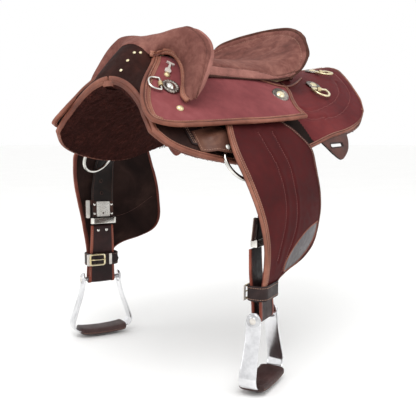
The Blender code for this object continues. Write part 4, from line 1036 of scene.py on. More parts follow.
def draped_xy(grow, nu, nv):
    return coons([(x, y, 0) for x, y in SKIRT_INNER],
                 [(x + grow * 0.8, y - grow * (0.6 if i < 3 else 0.0), 0) for i, (x, y) in enumerate(SKIRT_OUTER)],
                 [(x, y - grow * 0.5, 0) if x > INNER else (x, y, 0) for x, y in SKIRT_FRONT[:-1]]
                 + [(SKIRT_OUTER[0][0] + grow * 0.8, SKIRT_OUTER[0][1] - grow * 0.6, 0)],
                 [(x, y + grow * 0.3 * (1 if x > INNER else 0), 0) for x, y in SKIRT_REAR[:-1]]
                 + [(SKIRT_OUTER[-1][0] + grow * 0.8, SKIRT_OUTER[-1][1], 0)], nu, nv)


UP = (0, 0, 1)
xy = draped_xy(0.0, 250, 96)
skirt_G = lift(xy[..., 0], xy[..., 1], 0.0)
skirt_tree = tree_of(skirt_G)
# quilting arcs of the rear skirt, as seen on the near side
arc_px = [
    [(316, 66), (333, 72), (345, 84), (350, 96), (347, 107), (338, 115), (325, 119)],
    [(336, 82), (339, 92), (334, 101), (322, 108), (309, 111), (300, 108)],
    [(325, 117), (315, 119), (306, 118), (300, 114)],
]
arcs = [seen_line(skirt_tree, a) for a in arc_px]
skirt_top = vnoise(skirt_G, 0.045, 3) * 0.0004
for A, _ in arcs:
    if A is not None:
        d = path_distance(skirt_G, spaced(A, 40))
        skirt_top = skirt_top - 0.0022 * np.exp(-(d / 0.0024) ** 2) + 0.0010 * np.exp(-((d - 0.009) / 0.006) ** 2)
skirt_edge_d = None
# painted shade: skirt faces under the jockey get dark colours, index 2 forward of y -0.165 and index 3 back to y
# -0.030, standing in for the jockey's shadow
painted_shade_region = np.where(skirt_G[:-1, :-1, 1] < -0.165, 2, np.where(skirt_G[:-1, :-1, 1] < -0.030, 3, 0))
skirt_tree, skirt_T, skirt_N = slab("left_skirt_cloth", skirt_G, 0.005, ["skirt", "felt", "backing", "shade"], UP, slot="skirt_leather",
                                    rep=["left_skirt"], top=skirt_top, edge=0.35, region=painted_shade_region)
P, Z, O = chain(skirt_G, grid_normals(skirt_G, UP), [("u0", 0, 1), ("v1", 0, 1), ("u1", 1, 0)])
binding("left_skirt_binding", P, Z, O, 0.0075, 0.005, 0.0011, "binding", seed=4)
ln = offset_line(skirt_tree, P, Z, O, 0.0063, 0.0014)
stitches("left_skirt_binding_stitch", [ln], "thread")
arc_lines = []
for A, n in arcs:
    if A is not None:
        Q, nn = settle(skirt_tree, A, UP)
        arc_lines.append((Q + nn * 0.0001, nn))
stitches("left_skirt_arc_stitch", arc_lines, "thread_dark", r=0.0005)


def panel_surface(nu, nv):
    g = draped_xy(0.003, nu, nv)
    u = np.linspace(0, 1, nu)[:, None]
    v = np.linspace(0, 1, nv)[None]
    open_w = 0.010 + 0.022 * np.sin(pi * np.clip(u, 0, 1)) ** 0.6
    x = g[..., 0] + (open_w - INNER) * (1 - v) ** 2
    x = x - 0.0050 * smoothstep(v, 0.4, 1.0) * (1 - smoothstep(g[..., 1], 0.05, 0.15))
    return x, g[..., 1]


px_, py_ = panel_surface(230, 90)
panel_G = lift(px_, py_, -0.0065)
wool = (vnoise(panel_G, 0.0065, 5) * 0.0016 + vnoise(panel_G, 0.0125, 6) * 0.0016 + vnoise(panel_G, 0.0034, 7) * 0.0009)
nu_, nv_ = panel_G.shape[:2]
rim_u = np.minimum(np.arange(nu_), np.arange(nu_)[::-1])[:, None]
rim_v = np.arange(nv_)[::-1][None]
thin_f = smoothstep(np.linspace(0, 1, nv_), 0.30, 0.95)[None] * (1 - 0.8 * smoothstep(np.linspace(0, 1, nu_), 0.55, 0.85))[:, None]
panel_t = 0.013 - 0.0050 * thin_f
wool = wool * (1 - 0.6 * thin_f)
v_, f_, fm_, uv_, T_, N_ = slab_mesh(panel_G, panel_t, UP, bot=wool, edge=0.5)
# ragged wool at the outer rim
m_ = 2 * nu_ * nv_
rim_pts = v_[m_:]
v_[m_:] = rim_pts + (skin_normal(rim_pts[:, 0], rim_pts[:, 1]) * -1.0
                     + unit(rim_pts - panel_G.reshape(-1, 3).mean(0)) * 0.6) * (
    (vnoise(rim_pts, 0.007, 9) * 0.5 + vnoise(rim_pts, 0.0035, 10) * 0.5)[:, None] * 0.0022)
make("left_panel_fleece", v_, f_, ["fleece"], "saddle", "panel_fleece", ["left_panel"], uv=uv_, fill=0.6)
PN = grid_normals(panel_G, UP)
P, Z, O = chain(panel_G, PN, [("u0", 0.02, 1), ("v1", 0, 1), ("u1", 1, 0.02)])
binding("left_panel_binding", P + O * 0.0004, Z, O, 0.0080, 0.0052, 0.0011, "binding_deep", w2=0.003, seed=11)
bx = np.linspace(-0.0140, 0.0140, 25)
BP = np.stack([bx, np.full(25, P[0][1] + 0.0006), skin(np.abs(bx), P[0][1]) - 0.0108], -1)
BT = tangents(BP)
BA = perp(np.tile((0.0, -1.0, 0.0), (25, 1)), BT)
swept("front_arch_bridge", BP, BA, np.cross(BT, BA), np.array([(0.0019 * math.cos(a), 0.0052 * math.sin(a)) for a in
                                                              np.linspace(0, 2 * pi, 20, endpoint=False)]), "binding")
lnp = (P + O * 0.0016 - Z * 0.0034, unit(O + Z * 0.15))
stitches("left_panel_binding_stitch", [lnp], "thread_brown", pitch=0.0046)

# wool tufts hanging from the panel's lower edge and over its inner face
rng = np.random.RandomState(7)


def tufts(name, C, Nrm, D, size, mat, body="saddle", slot=None):
    """Short curved locks: a three-sided horn at each point."""
    V, F = [], []
    k = 4
    hs = [0.0, 0.35, 0.7, 1.0]
    rs = [0.34, 0.30, 0.18, 0.03]
    for idx, (c, n, d, s) in enumerate(zip(C, Nrm, D, size)):
        side = np.cross(n, d)
        base = len(V)
        for h, r in zip(hs, rs):
            mid = c + n * (s * h) + d * (s * 0.55 * h * h)
            for j in range(k):
                a = 2 * pi * j / k
                V.append(mid + (side * math.cos(a) + d * math.sin(a)) * s * r)
        for i in range(len(hs) - 1):
            for j in range(k):
                a0, b0 = base + i * k, base + (i + 1) * k
                F.append((a0 + j, a0 + (j + 1) % k, b0 + (j + 1) % k, b0 + j))
        F.append(tuple(base + j for j in range(k)))
        F.append(tuple(base + (len(hs) - 1) * k + j for j in range(k)))
    return make(name, np.array(V), F, mat, body, slot, fix=True)


under = panel_G - PN * (panel_t - 0.0008)[..., None]
n_t = 5200
a_ = rng.rand(n_t) ** 0.8
b_ = rng.rand(n_t)
ii = np.clip((a_ * (nu_ - 1)).astype(int), 0, nu_ - 1)
jj = np.clip((b_ * (nv_ - 1)).astype(int), 1, nv_ - 1)
C = under[ii, jj] - PN[ii, jj] * wool[ii, jj][:, None]
rand = rng.normal(size=(n_t, 3))
D = perp(rand, PN[ii, jj])
tufts("left_panel_wool", C, -PN[ii, jj] * 0.6 + D * 0.6, D, 0.0022 + 0.0018 * rng.rand(n_t), "fleece", slot="panel_fleece")
EP, EZ, EO = chain(panel_G, PN, [("u0", 0.05, 1), ("v1", 0, 1), ("u1", 1, 0.05)], step=0.0016)
n_e = len(EP)
q_e = np.linspace(0, 1, n_e)
C = EP - EZ * ((0.0072 + 0.0046 * rng.rand(n_e)) * np.where(q_e < 0.5, 0.55, 1.0))[:, None] - EO * 0.0014
dirs = unit(EO * 0.55 - EZ * (0.5 + 0.5 * rng.rand(n_e)[:, None]) + rng.normal(size=(n_e, 3)) * 0.18)
tufts("left_panel_wool_edge", C, dirs, perp(rng.normal(size=(n_e, 3)), dirs), 0.0016 + 0.0016 * rng.rand(n_e), "fleece",
      slot="panel_fleece")

sy = np.linspace(0.195, 0.324, 60)[:, None]
sx = np.linspace(-0.0095, 0.0095, 12)[None]
strip_G = np.stack([sx + 0 * sy, sy + 0 * sx, skin(np.maximum(np.abs(sx), 0.003), sy) + 0.0014 + 0 * sy * sx], -1)
strip_tree, strip_T, strip_N = slab("rear_joining_strip", strip_G, 0.0022, "binding", UP, slot="dark_leather", edge=0.6)
stitches("rear_joining_stitch", [(strip_G[:, k] + np.array([0, 0, 0.0001]), np.tile((0.0, 0.0, 1.0), (60, 1))) for k in (2, 9)],
         "thread")

# ================================================================ seat jockeys
J_FRONT = [(0.046, -0.281, 0.0585), (0.0565, -0.2930, 0.0470), (0.0664, -0.3100, 0.0330),
           (0.0758, -0.3270, 0.0180), (0.0840, -0.3400, 0.0045), (0.0923, -0.3495, -0.0090),
           (0.1020, -0.3580, -0.0220), (0.1150, -0.3650, -0.0360), (0.1290, -0.3690, -0.0480),
           (0.1420, -0.3680, -0.0565)]
J_BOTTOM = [(0.142, -0.368, -0.0565), (0.153, -0.352, -0.0620), (0.163, -0.325, -0.0645),
            (0.176, -0.275, -0.0625), (0.190, -0.215, -0.0590), (0.201, -0.150, -0.0555),
            (0.208, -0.090, -0.0505), (0.212, -0.045, -0.0450)]
J_REAR = [(0.112, 0.010, 0.0235), (0.140, -0.004, 0.0060), (0.168, -0.030, -0.0125),
          (0.191, -0.046, -0.0280), (0.212, -0.045, -0.0450)]
J_TOP = [(0.046, -0.281, 0.0585), (0.052, -0.250, 0.0590), (0.070, -0.205, 0.0440),
         (0.090, -0.160, 0.0345), (0.102, -0.100, 0.0325), (0.109, -0.045, 0.0290),
         (0.112, 0.010, 0.0235)]


def jockey_surface(nu, nv):
    g = coons(J_TOP, J_BOTTOM, J_FRONT, J_REAR, nu, nv)
    su = np.sin(pi * np.linspace(0, 1, nu))[:, None] * np.sin(pi * np.linspace(0, 1, nv))[None]
    return g + np.array([0.6, 0.0, 0.8]) * (0.0028 * np.clip(su, 0, 1) ** 0.8)[..., None]


J_UP = (0.5, -0.1, 0.8)
jockey_G = jockey_surface(190, 84)
jockey_top = vnoise(jockey_G, 0.060, 13) * 0.0004
jockey_tree, jockey_T, jockey_N = slab("left_jockey_cloth", jockey_G, 0.004, ["burgundy", "felt"], J_UP,
                                       slot="skirt_leather", rep=["left_jockey"], top=jockey_top, edge=0.4)
JN = grid_normals(jockey_G, J_UP)
P, Z, O = chain(jockey_G, JN, [("u0", 0.0, 1), ("v1", 0, 1), ("u1", 1, 0.0)])
binding("left_jockey_binding", P, Z, O, 0.0095, 0.004, 0.0012, "binding", seed=15)
l1 = offset_line(jockey_tree, P, Z, O, 0.0080, 0.0015)
# second band just inside the first along the front edge
front_n = int(len(P) * 0.32)
Pf, Zf, Of = P[:front_n], Z[:front_n], O[:front_n]
lf = offset_line(jockey_tree, Pf, Zf, Of, 0.0135)
band("left_jockey_front_band", lf[0], lf[1], 0.0062, 0.0009, "binding_pink")
l2 = offset_line(jockey_tree, Pf, Zf, Of, 0.0152, 0.0009)
stitches("left_jockey_stitch", [l1, l2], "thread")

J_TOP[1:3] = [(0.058, -0.250, 0.0520), (0.074, -0.205, 0.0410)]
g20 = jockey_surface(20, 9)


def jockey_point(u, v):
    """Point and outward normal on the jockey, as the CAD has it."""
    a, b = u * 19, v * 8
    i, j = min(int(a), 18), min(int(b), 7)
    fa, fb = a - i, b - j
    p = ((1 - fa) * (1 - fb) * g20[i, j] + fa * (1 - fb) * g20[i + 1, j]
         + (1 - fa) * fb * g20[i, j + 1] + fa * fb * g20[i + 1, j + 1])
    du = (1 - fb) * (g20[i + 1, j] - g20[i, j]) + fb * (g20[i + 1, j + 1] - g20[i, j + 1])
    dv = (1 - fa) * (g20[i, j + 1] - g20[i, j]) + fa * (g20[i + 1, j + 1] - g20[i + 1, j])
    n = unit(np.cross(du, dv))
    return p, (n if n[2] > 0 else -n), unit(du), unit(dv)


# ================================================================ pommel
# Rear rim and front edge of the suede, from the middle of the pommel to the pad's tip
SW_RIM = [(0.0, -0.2360, 0.0985), (0.018, -0.2330, 0.0990), (0.036, -0.2290, 0.1010), (0.054, -0.2260, 0.1040), (0.074, -0.2260, 0.1060),
          (0.100, -0.2290, 0.1030), (0.122, -0.2320, 0.0940), (0.141, -0.2340, 0.0780), (0.154, -0.2420, 0.0550),
          (0.159, -0.2560, 0.0290), (0.154, -0.2655, 0.0030), (0.147, -0.2740, -0.0190)]
SW_FRONT = [(0.0, -0.3000, 0.0815), (0.018, -0.2995, 0.0790), (0.034, -0.2970, 0.0710), (0.0455, -0.2930, 0.0605), (0.0500, -0.2860, 0.0570),
            (0.0490, -0.2740, 0.0600), (0.0505, -0.2600, 0.0640), (0.0570, -0.2490, 0.0635), (0.0660, -0.2440, 0.0570),
            (0.0770, -0.2440, 0.0460), (0.0879, -0.2495, 0.0340), (0.1000, -0.2600, 0.0195), (0.1120, -0.2720, 0.0045),
            (0.1190, -0.2810, -0.0070), (0.1270, -0.2875, -0.0170), (0.1380, -0.2870, -0.0255)]
NR, NS, SPLIT = 76, 64, 12
rim, front = spline(SW_RIM, NR), spline(SW_FRONT, NR)
tt = np.linspace(0, 1, NR)
c_, a_ = (rim + front) / 2, (rim - front) / 2
pad_out = unit(np.cross(a_, tangents(rim)))
pad_out[pad_out[:, 1] > 0] *= -1
for _ in range(4):
    pad_out = smooth_rows(pad_out, 1)
pad_out[0] = unit(pad_out[0] * np.array([0, 1, 1]))
p_out = np.interp(tt, [0, 0.12, 0.25, 0.55, 0.85, 0.96, 1], [0.009, 0.011, 0.016, 0.020, 0.016, 0.010, 0.006])
p_in = np.interp(tt, [0, 0.2, 0.5, 0.85, 1], [0.004, 0.006, 0.009, 0.008, 0.004])
th = 2 * pi * np.arange(NS) / NS
s_, co_ = np.sin(th), np.cos(th)
lean = 0.30 + 0.70 * ((1 + co_) / 2) ** 0.7
bulge = np.where(s_[None] > 0, p_out[:, None] * lean[None], p_in[:, None]) * (np.sign(s_) * np.abs(s_) ** 0.85)[None]
R = c_[:, None] + a_[:, None] * (co_ * 0.98)[None, :, None] + pad_out[:, None] * bulge[..., None]
verts, faces, uv = rings_mesh(R)
i_idx = np.repeat(np.arange(NR), NS)
ang = np.tile(th, NR)
pins = np.maximum.reduce([np.exp(-((np.minimum(ang, 2 * pi - ang)) / 0.20) ** 2), np.exp(-((ang - pi) / 0.22) ** 2),
                          np.exp(-(i_idx / 1.5) ** 2), np.exp(-((NR - 1 - i_idx) / 1.5) ** 2),
                          np.where(ang > pi, 0.35, 0.0)])
moved = puff(verts, faces, pins, 5.0, 0.006, 14).reshape(NR, NS, 3)
front_side = (s_ > 0)[None, :]
AN = np.broadcast_to(th[None], (NR, NS))
on = smoothstep(tt, 0.16, 0.26)[:, None]
groove_t = np.exp(-((AN - 0.62) / 0.075) ** 2) * on
puffed = np.exp(-((AN - 0.34) / 0.16) ** 2) * on * 0.0012 + np.exp(-((AN - 0.95) / 0.20) ** 2) * on * 0.0012
crease = vnoise(moved * np.array([1.0, 1.0, 0.55]), 0.022, 21) * 0.0012 + vnoise(moved, 0.048, 22) * 0.0020
# shallow folds running from the tip up the pad
fold = 0.0012 * np.sin(AN * 7.0 + vnoise(moved, 0.06, 23) * 2.4) * smoothstep(tt, 0.55, 0.8)[:, None] * np.abs(np.sin(AN))
moved = moved + pad_out[:, None] * np.where(front_side, puffed + crease * smoothstep(tt, 0.0, 0.1)[:, None] + fold - groove_t * 0.0030,
                                            0)[..., None]
pv, pf, puv = rings_mesh(moved[SPLIT:], caps=False)
pf = pf + [list(range((NR - SPLIT - 1) * NS, (NR - SPLIT) * NS))]
pad = make("left_knee_pad_suede", pv, pf, "suede", "saddle", "seat_suede", ["left_knee_pad"], uv=puv, fill=0.8, fix=False)
cv_rings = np.concatenate([(moved[SPLIT:0:-1] * np.array([-1, 1, 1])), moved[:SPLIT + 1]])
v_, f_, uv_ = rings_mesh(cv_rings, caps=False)
cover = make("pommel_cover_suede", v_, f_, "suede", "saddle", "seat_suede", ["pommel_cover"], uv=uv_, fill=0.5, fix=False)
for piece in (pad, cover):
    me_ = piece.data
    mid_f = me_.polygons[len(me_.polygons) // 3 * 2]
    bm = bmesh.new()
    bm.from_mesh(me_)
    bmesh.ops.recalc_face_normals(bm, faces=bm.faces)
    far = max(bm.verts, key=lambda q: q.co.z)
    if far.normal.z < 0:
        bmesh.ops.reverse_faces(bm, faces=bm.faces)
    bm.to_mesh(me_)
    bm.free()
    me_.polygons.foreach_set("use_smooth", np.ones(len(me_.polygons), bool))
pad_tree = BVHTree.FromPolygons([Vector(p) for p in moved.reshape(-1, 3)], [f for f in faces if len(f) == 4])
# rolled rear rim
i0 = 12
rim_raw = moved[i0:, 0]
inward = unit(moved[:, NS // 2] - moved[:, 0])
rim_line = by_step(smooth_pts0(rim_raw, 3), 0.003)
q = np.linspace(0, 1, len(rim_line))
inn = inward[np.clip((q * (NR - 1 - i0) + i0).astype(int), 0, NR - 1)]
inn = smooth_rows(inn, 6)
T = tangents(rim_line)
A = unit(np.cross(T, np.array([0, -1.0, 0.2])))
rr = 0.0056 * smoothstep(q, -0.05, 0.12) * np.minimum(1, 0.45 + 5 * (1 - q))
prof = circle(18, 1.0)[None] * np.maximum(rr, 0.0004)[:, None, None]
prof = prof * (1 + 0.05 * vnoise(rim_line, 0.012, 25))[:, None, None]
swept("left_knee_pad_roll", rim_line + inn * 0.0036, A, np.cross(T, A), prof, "suede_roll", slot="seat_suede")
gk = int(round(0.62 / (2 * pi) * NS))
gl = by_step(smooth_pts0(moved[17:NR - 3, gk], 2), 0.003)
gQ, gN = settle(pad_tree, gl)
stitches("left_knee_pad_stitch", [(gQ + gN * 0.0002, gN)], "thread_brown")
# double leather band along the front edge, round the window
j0 = 18
fl = by_step(smooth_pts0(moved[j0:, NS // 2], 2), 0.003)
qf = np.linspace(0, 1, len(fl))
fo = -inward[np.clip((qf * (NR - 1 - j0) + j0).astype(int), 0, NR - 1)]
fo = smooth_rows(fo, 8)
T = tangents(fl)
fz = np.cross(T, fo)
fz[dot(fz, np.array([0.3, -1, 0.2])) < 0] *= -1
fo = unit(np.cross(fz, T))
fo[dot(fo, -inward[np.clip((qf * (NR - 1 - j0) + j0).astype(int), 0, NR - 1)]) < 0] *= -1
prof1 = np.array([(-0.0050, -0.0030), (-0.0054, 0.0010), (-0.0044, 0.0030), (-0.0024, 0.0038), (-0.0006, 0.0032), (0.0002, 0.0020),
                  (0.0012, 0.0026), (0.0032, 0.0026), (0.0048, 0.0016), (0.0054, 0.0), (0.0046, -0.0018), (0.0010, -0.0034)])
fz = unit(fz * 0.6 + BACK * 0.4)
fo = perp(fo, fz)
swept("left_knee_pad_band", fl + fo * 0.0018 + fz * 0.0022, fo, fz, prof1[None] * (1 + 0.05 * vnoise(fl, 0.01, 27))[:, None, None], "binding_pink",
      slot="seat_suede")
stitches("left_knee_pad_band_stitch", [(fl + fo * 0.0018 + fz * 0.0046, fz)], "thread")

# fork of the tree under the pommel
fr = []
for x in (-0.098, -0.080, -0.062, -0.046, -0.039, -0.026, -0.013, 0.0, 0.013, 0.026, 0.039, 0.046, 0.062, 0.080, 0.098):
    ax = abs(x)
    arm = [(x, y, float(skin(ax, y)) + h) for y, h in ((-0.314, 0.0030), (-0.312, 0.0120), (-0.252, 0.0120), (-0.249, 0.0030))]
    if ax <= 0.042:
        s = 1.0 - 0.16 * (ax / 0.044) ** 2
        arm = [(x, -0.3150, max(arm[0][2], 0.034 * s)), (x, -0.2640, 0.0760 * s), (x, -0.2480, 0.0760 * s),
               (x, -0.2550, max(arm[3][2], 0.036 * s))]
    fr.append(arm)
v_, f_, uv_ = rings_mesh(np.array(fr, float))
make("tree_fork_wood", v_, f_, "wood", "saddle", "tree_wood", ["tree_fork"], uv=uv_, sharp=30)

# facing: dark leather over the fork's front, from the skirts up to the suede
jf = spline(J_FRONT, 200)
swf = spline(SW_FRONT, 300)
swf = swf[:int(np.argmax(swf[:, 0] > 0.0452))]


def facing_column(x):
    ax = abs(x)
    low_ = np.array([ax, -0.3448, float(skin(ax, -0.3448)) + 0.0008])
    if ax < 0.0450:
        k = int(np.argmin(np.abs(swf[:, 0] - ax)))
        top = np.array([ax, swf[k, 1] + 0.0030, swf[k, 2] + 0.0012])
        f = (top[2] - low_[2])
        g = top[1] - low_[1]
        pts = [low_, np.array([ax, low_[1] + g * 0.14, low_[2] + f * 0.24]), np.array([ax, low_[1] + g * 0.52, low_[2] + f * 0.62]),
               np.array([ax, low_[1] + g * 0.84, low_[2] + f * 0.88]), top]
    else:
        k = int(np.argmin(np.abs(jf[:, 0] - ax)))
        top = jf[k] + np.array([0, -0.0005, -0.0046])
        top[0] = ax
        mid = (low_ + top) / 2 + np.array([0, -0.0040, 0.0])
        pts = [low_, mid, top]
    return spline(pts, 34)


fx = np.linspace(0, 0.0985, 50)
cols = np.stack([facing_column(x) for x in fx])
for _ in range(4):
    cols[1:-1] = (cols[:-2] + 2 * cols[1:-1] + cols[2:]) / 4
full = np.vstack([(cols * np.array([-1, 1, 1]))[:0:-1], cols])
facing_tree, facing_T, facing_N = slab("pommel_facing", full, 0.0018, "facing", (0, -1, 0.4), edge=0.5,
                                       slot="dark_leather")
for k, (a, b) in enumerate(((134.4, 52.6), (140.6, 52.6), (127.7, 60.5), (121.0, 70.3))):
    h = hit(facing_tree, a, b)
    if h is not None:
        dome("pommel_tack_%d" % (k + 1), h[0], h[1], 0.0030, 0.0018, "brass_light", steps=18)
# lining behind the fork
lx = np.linspace(-0.050, 0.050, 31)
rim_z = np.interp(np.abs(lx), rim[:, 0], rim[:, 2])
lz = np.linspace(0, 1, 14)[None]
LG = np.stack([lx[:, None] + 0 * lz, -0.2370 - 0.0080 * lz + 0 * lx[:, None], (rim_z[:, None] - 0.008) * (1 - lz) + 0.040 * lz], -1)
slab("pommel_rear_lining", LG, 0.0016, "suede_dark", (0, 1, 0), slot="seat_suede")


# ================================================================ seat and cantle
SEAT_LINES = [
    [(0, -0.2300, 0.0790), (0, -0.180, 0.0710), (0, -0.120, 0.0675), (0, -0.050, 0.0680),
     (0, 0.005, 0.0745), (0, 0.055, 0.0930), (0, 0.098, 0.1230), (0, 0.1260, 0.1550)],
    [(0.030, -0.2290, 0.0770), (0.031, -0.180, 0.0700), (0.033, -0.120, 0.0668), (0.035, -0.050, 0.0672),
     (0.036, 0.005, 0.0738), (0.036, 0.052, 0.0920), (0.034, 0.092, 0.1210), (0.031, 0.1190, 0.1525)],
    [(0.056, -0.2240, 0.0700), (0.058, -0.178, 0.0660), (0.062, -0.120, 0.0640), (0.066, -0.055, 0.0655),
     (0.068, -0.005, 0.0725), (0.068, 0.040, 0.0890), (0.063, 0.080, 0.1170), (0.057, 0.1060, 0.1470)],
    [(0.076, -0.2160, 0.0610), (0.080, -0.170, 0.0585), (0.086, -0.120, 0.0570), (0.092, -0.060, 0.0590),
     (0.096, -0.015, 0.0665), (0.098, 0.025, 0.0820), (0.095, 0.058, 0.1060), (0.088, 0.0850, 0.1370)],
    [(0.090, -0.2090, 0.0500), (0.096, -0.165, 0.0480), (0.104, -0.115, 0.0465), (0.111, -0.065, 0.0480),
     (0.117, -0.025, 0.0560), (0.121, 0.008, 0.0700), (0.1225, 0.034, 0.0900), (0.1190, 0.0640, 0.1210)],
    [(0.098, -0.2060, 0.0400), (0.104, -0.165, 0.0385), (0.112, -0.115, 0.0380), (0.1195, -0.070, 0.0385),
     (0.1250, -0.036, 0.0430), (0.1300, -0.008, 0.0530), (0.1350, 0.020, 0.0680), (0.1400, 0.0540, 0.0870)],
    [(0.103, -0.2045, 0.0310), (0.109, -0.165, 0.0305), (0.117, -0.115, 0.0305), (0.1240, -0.075, 0.0310),
     (0.1290, -0.044, 0.0330), (0.1335, -0.018, 0.0390), (0.1380, 0.006, 0.0470), (0.1425, 0.0330, 0.0560)],
    [(0.1055, -0.2035, 0.0240), (0.111, -0.165, 0.0240), (0.1185, -0.115, 0.0243), (0.1250, -0.078, 0.0248),
     (0.1285, -0.052, 0.0252), (0.1310, -0.030, 0.0262), (0.1330, -0.012, 0.0280), (0.1345, 0.0020, 0.0310)],
]
NU, NV = 97, 56
seat_lines = [spline(line, NU) for line in SEAT_LINES]
half = np.stack([spline([line[i] for line in seat_lines], NV) for i in range(NU)])
NET = np.concatenate([(half * np.array([-1, 1, 1]))[:, :0:-1], half], axis=1)      # columns -55..55
NETN = grid_normals(NET, UP)
uu = np.linspace(0, 1, NU)[:, None]
vv = np.abs(np.linspace(-1, 1, 2 * NV - 1))[None]
seat_t = 0.0035 + 0.0065 * np.minimum.reduce([np.ones((NU, 2 * NV - 1)), 5 * uu + 0 * vv, 6 * (1 - uu) + 0 * vv,
                                              4.5 * (1 - vv) + 0 * uu])
seat_tree0 = tree_of(NET)


def net_path(pixels, fallback):
    """Where a line of the picture runs over the seat: column for each row."""
    pts = spaced(catmull(pixels), 60)
    got = [h[0] for h in (hit(seat_tree0, *p) for p in pts) if h is not None and h[0][0] > 0.02]
    rows, cols = [], []
    for g in got:
        d = ((NET - g) ** 2).sum(-1)
        i, j = np.unravel_index(np.argmin(d), d.shape)
        rows.append(i)
        cols.append(abs(j - (NV - 1)))
    if len(rows) < 4:
        return np.full(NU, float(fallback))
    o = np.argsort(rows)
    r, c = np.array(rows)[o], np.array(cols, float)[o]
    y = np.interp(np.arange(NU), r, c)
    for _ in range(30):
        y[1:-1] = (y[:-2] + 2 * y[1:-1] + y[2:]) / 4
    return y


up_seam = net_path([(211.6, 65.4), (236, 68), (262, 72), (276, 77)], 36)
low_seam = net_path([(208.5, 76), (236, 78.5), (262, 80.5), (278, 83)], 46)
low_seam = np.minimum(np.maximum(low_seam, up_seam + 3.0), NV - 3.0)
J_ = np.abs(np.arange(2 * NV - 1) - (NV - 1)).astype(float)[None]
step_v = np.linalg.norm(np.diff(NET, axis=1), axis=2)
step_v = np.concatenate([step_v, step_v[:, -1:]], axis=1)
d_up = (J_ - up_seam[:, None]) * step_v
d_low = (J_ - low_seam[:, None]) * step_v
rim_d = (np.linalg.norm(NET[-1:] - NET, axis=2))
rim_groove = np.exp(-((rim_d - 0.017) / 0.0021) ** 2)
seat_relief = (-0.0020 * np.exp(-(d_up / 0.0019) ** 2) - 0.0018 * np.exp(-(d_low / 0.0018) ** 2) - 0.0017 * rim_groove
               + 0.0012 * np.exp(-((d_up + 0.007) / 0.005) ** 2) + 0.0010 * np.exp(-((d_up - 0.006) / 0.004) ** 2)
               + 0.0012 * np.exp(-((rim_d - 0.009) / 0.005) ** 2))
seat_relief = seat_relief + vnoise(NET * np.array([1, 0.7, 1]), 0.030, 41) * 0.0008 + vnoise(NET, 0.012, 42) * 0.0003
v_, f_, fm_, uv_, T_, N_ = slab_mesh(NET, seat_t, UP, top=seat_relief, edge=0.5)
n_grid = NU * (2 * NV - 1)
pins = np.ones(len(v_))
hold = np.clip(np.exp(-(d_up / 0.003) ** 2) + np.exp(-(d_low / 0.003) ** 2) + rim_groove
               + np.exp(-(uu / 0.03) ** 2) + np.exp(-((1 - uu) / 0.03) ** 2) + np.exp(-((1 - vv) / 0.04) ** 2), 0, 1)
pins[:n_grid] = hold.ravel()
v_ = puff(v_, f_, pins, 3.0, 0.004, 12, 2.0)
top_mat = np.zeros(len(f_), int)
q_i = np.repeat(np.arange(NU - 1), 2 * NV - 2)
q_j = np.tile(np.arange(2 * NV - 2), NU - 1)
jm = np.abs(q_j + 0.5 - (NV - 1))
band_f = (jm > up_seam[q_i]) & (jm < low_seam[q_i])
below_f = jm >= low_seam[q_i]
top_mat[:len(q_i)] = np.where(band_f, 1, np.where(below_f, 2, 0))
top_mat[len(q_i):2 * len(q_i)] = 2
top_mat[2 * len(q_i):] = 2
make("seat_suede", v_, f_, ["suede", "suede_roll", "suede_dark"], "saddle", "seat_suede", ["seat"], uv=uv_, face_mat=top_mat,
     fill=0.7)
ST = v_[:n_grid].reshape(NU, 2 * NV - 1, 3)
seat_tree = tree_of(ST)


def seat_line(cols, side, i0=3, i1=NU - 3, off=0.0):
    P = np.array([ST[i, int(round(NV - 1 + side * min(cols[i] + off, NV - 2)))] * 1.0 for i in range(i0, i1)])
    P = by_step(smooth_pts0(P, 3), 0.003)
    Q, n = settle(seat_tree, P, (side * 0.6, 0, 0.8))
    return Q + n * 0.0001, n


lines = []
for s in (-1, 1):
    lines += [seat_line(up_seam, s), seat_line(low_seam, s)]
stitches("seat_seam_stitch", lines, "thread_brown")
rim_in = []
for j in range(4, 2 * NV - 5):
    k = int(np.argmin(np.abs(rim_d[:, j] - 0.017)))
    rim_in.append(ST[k, j])
P = by_step(smooth_pts0(np.array(rim_in), 6), 0.003)
Q, n = settle(seat_tree, P, (0, -0.5, 0.8))
stitches("seat_rim_stitch", [(Q + n * 0.0001, n)], "thread")
# welt under the seat's rear corners, lying on the jockey and the skirt
wp = []
for a, b in spaced(catmull([(255, 78.5), (264, 81.5), (272, 84.5), (281, 86.8), (288, 87.2), (295, 84.5), (301, 79)]), 40):
    h = hit(jockey_tree, a, b) or hit(skirt_tree, a, b)
    if h is not None:
        wp.append(h[0] + h[1] * 0.0014)
if len(wp) > 12:
    wl = by_step(smooth_pts0(np.array(wp), 6), 0.002)
    tube("left_seat_welt", wl, 0.0021, (0.5, -0.1, 0.8), "binding", slot="seat_suede", k=12)
# piping round the rim
rimP = by_step(smooth_pts0(NET[-1] - NETN[-1] * (seat_t[-1] * 0.5)[:, None], 2), 0.003)
tube("seat_rim_piping", rimP + unit(np.array([0, 0.4, 0.9]))[None] * 0.0004, 0.0040, (0, 0, 1), "suede_rim", slot="seat_suede",
     k=12)


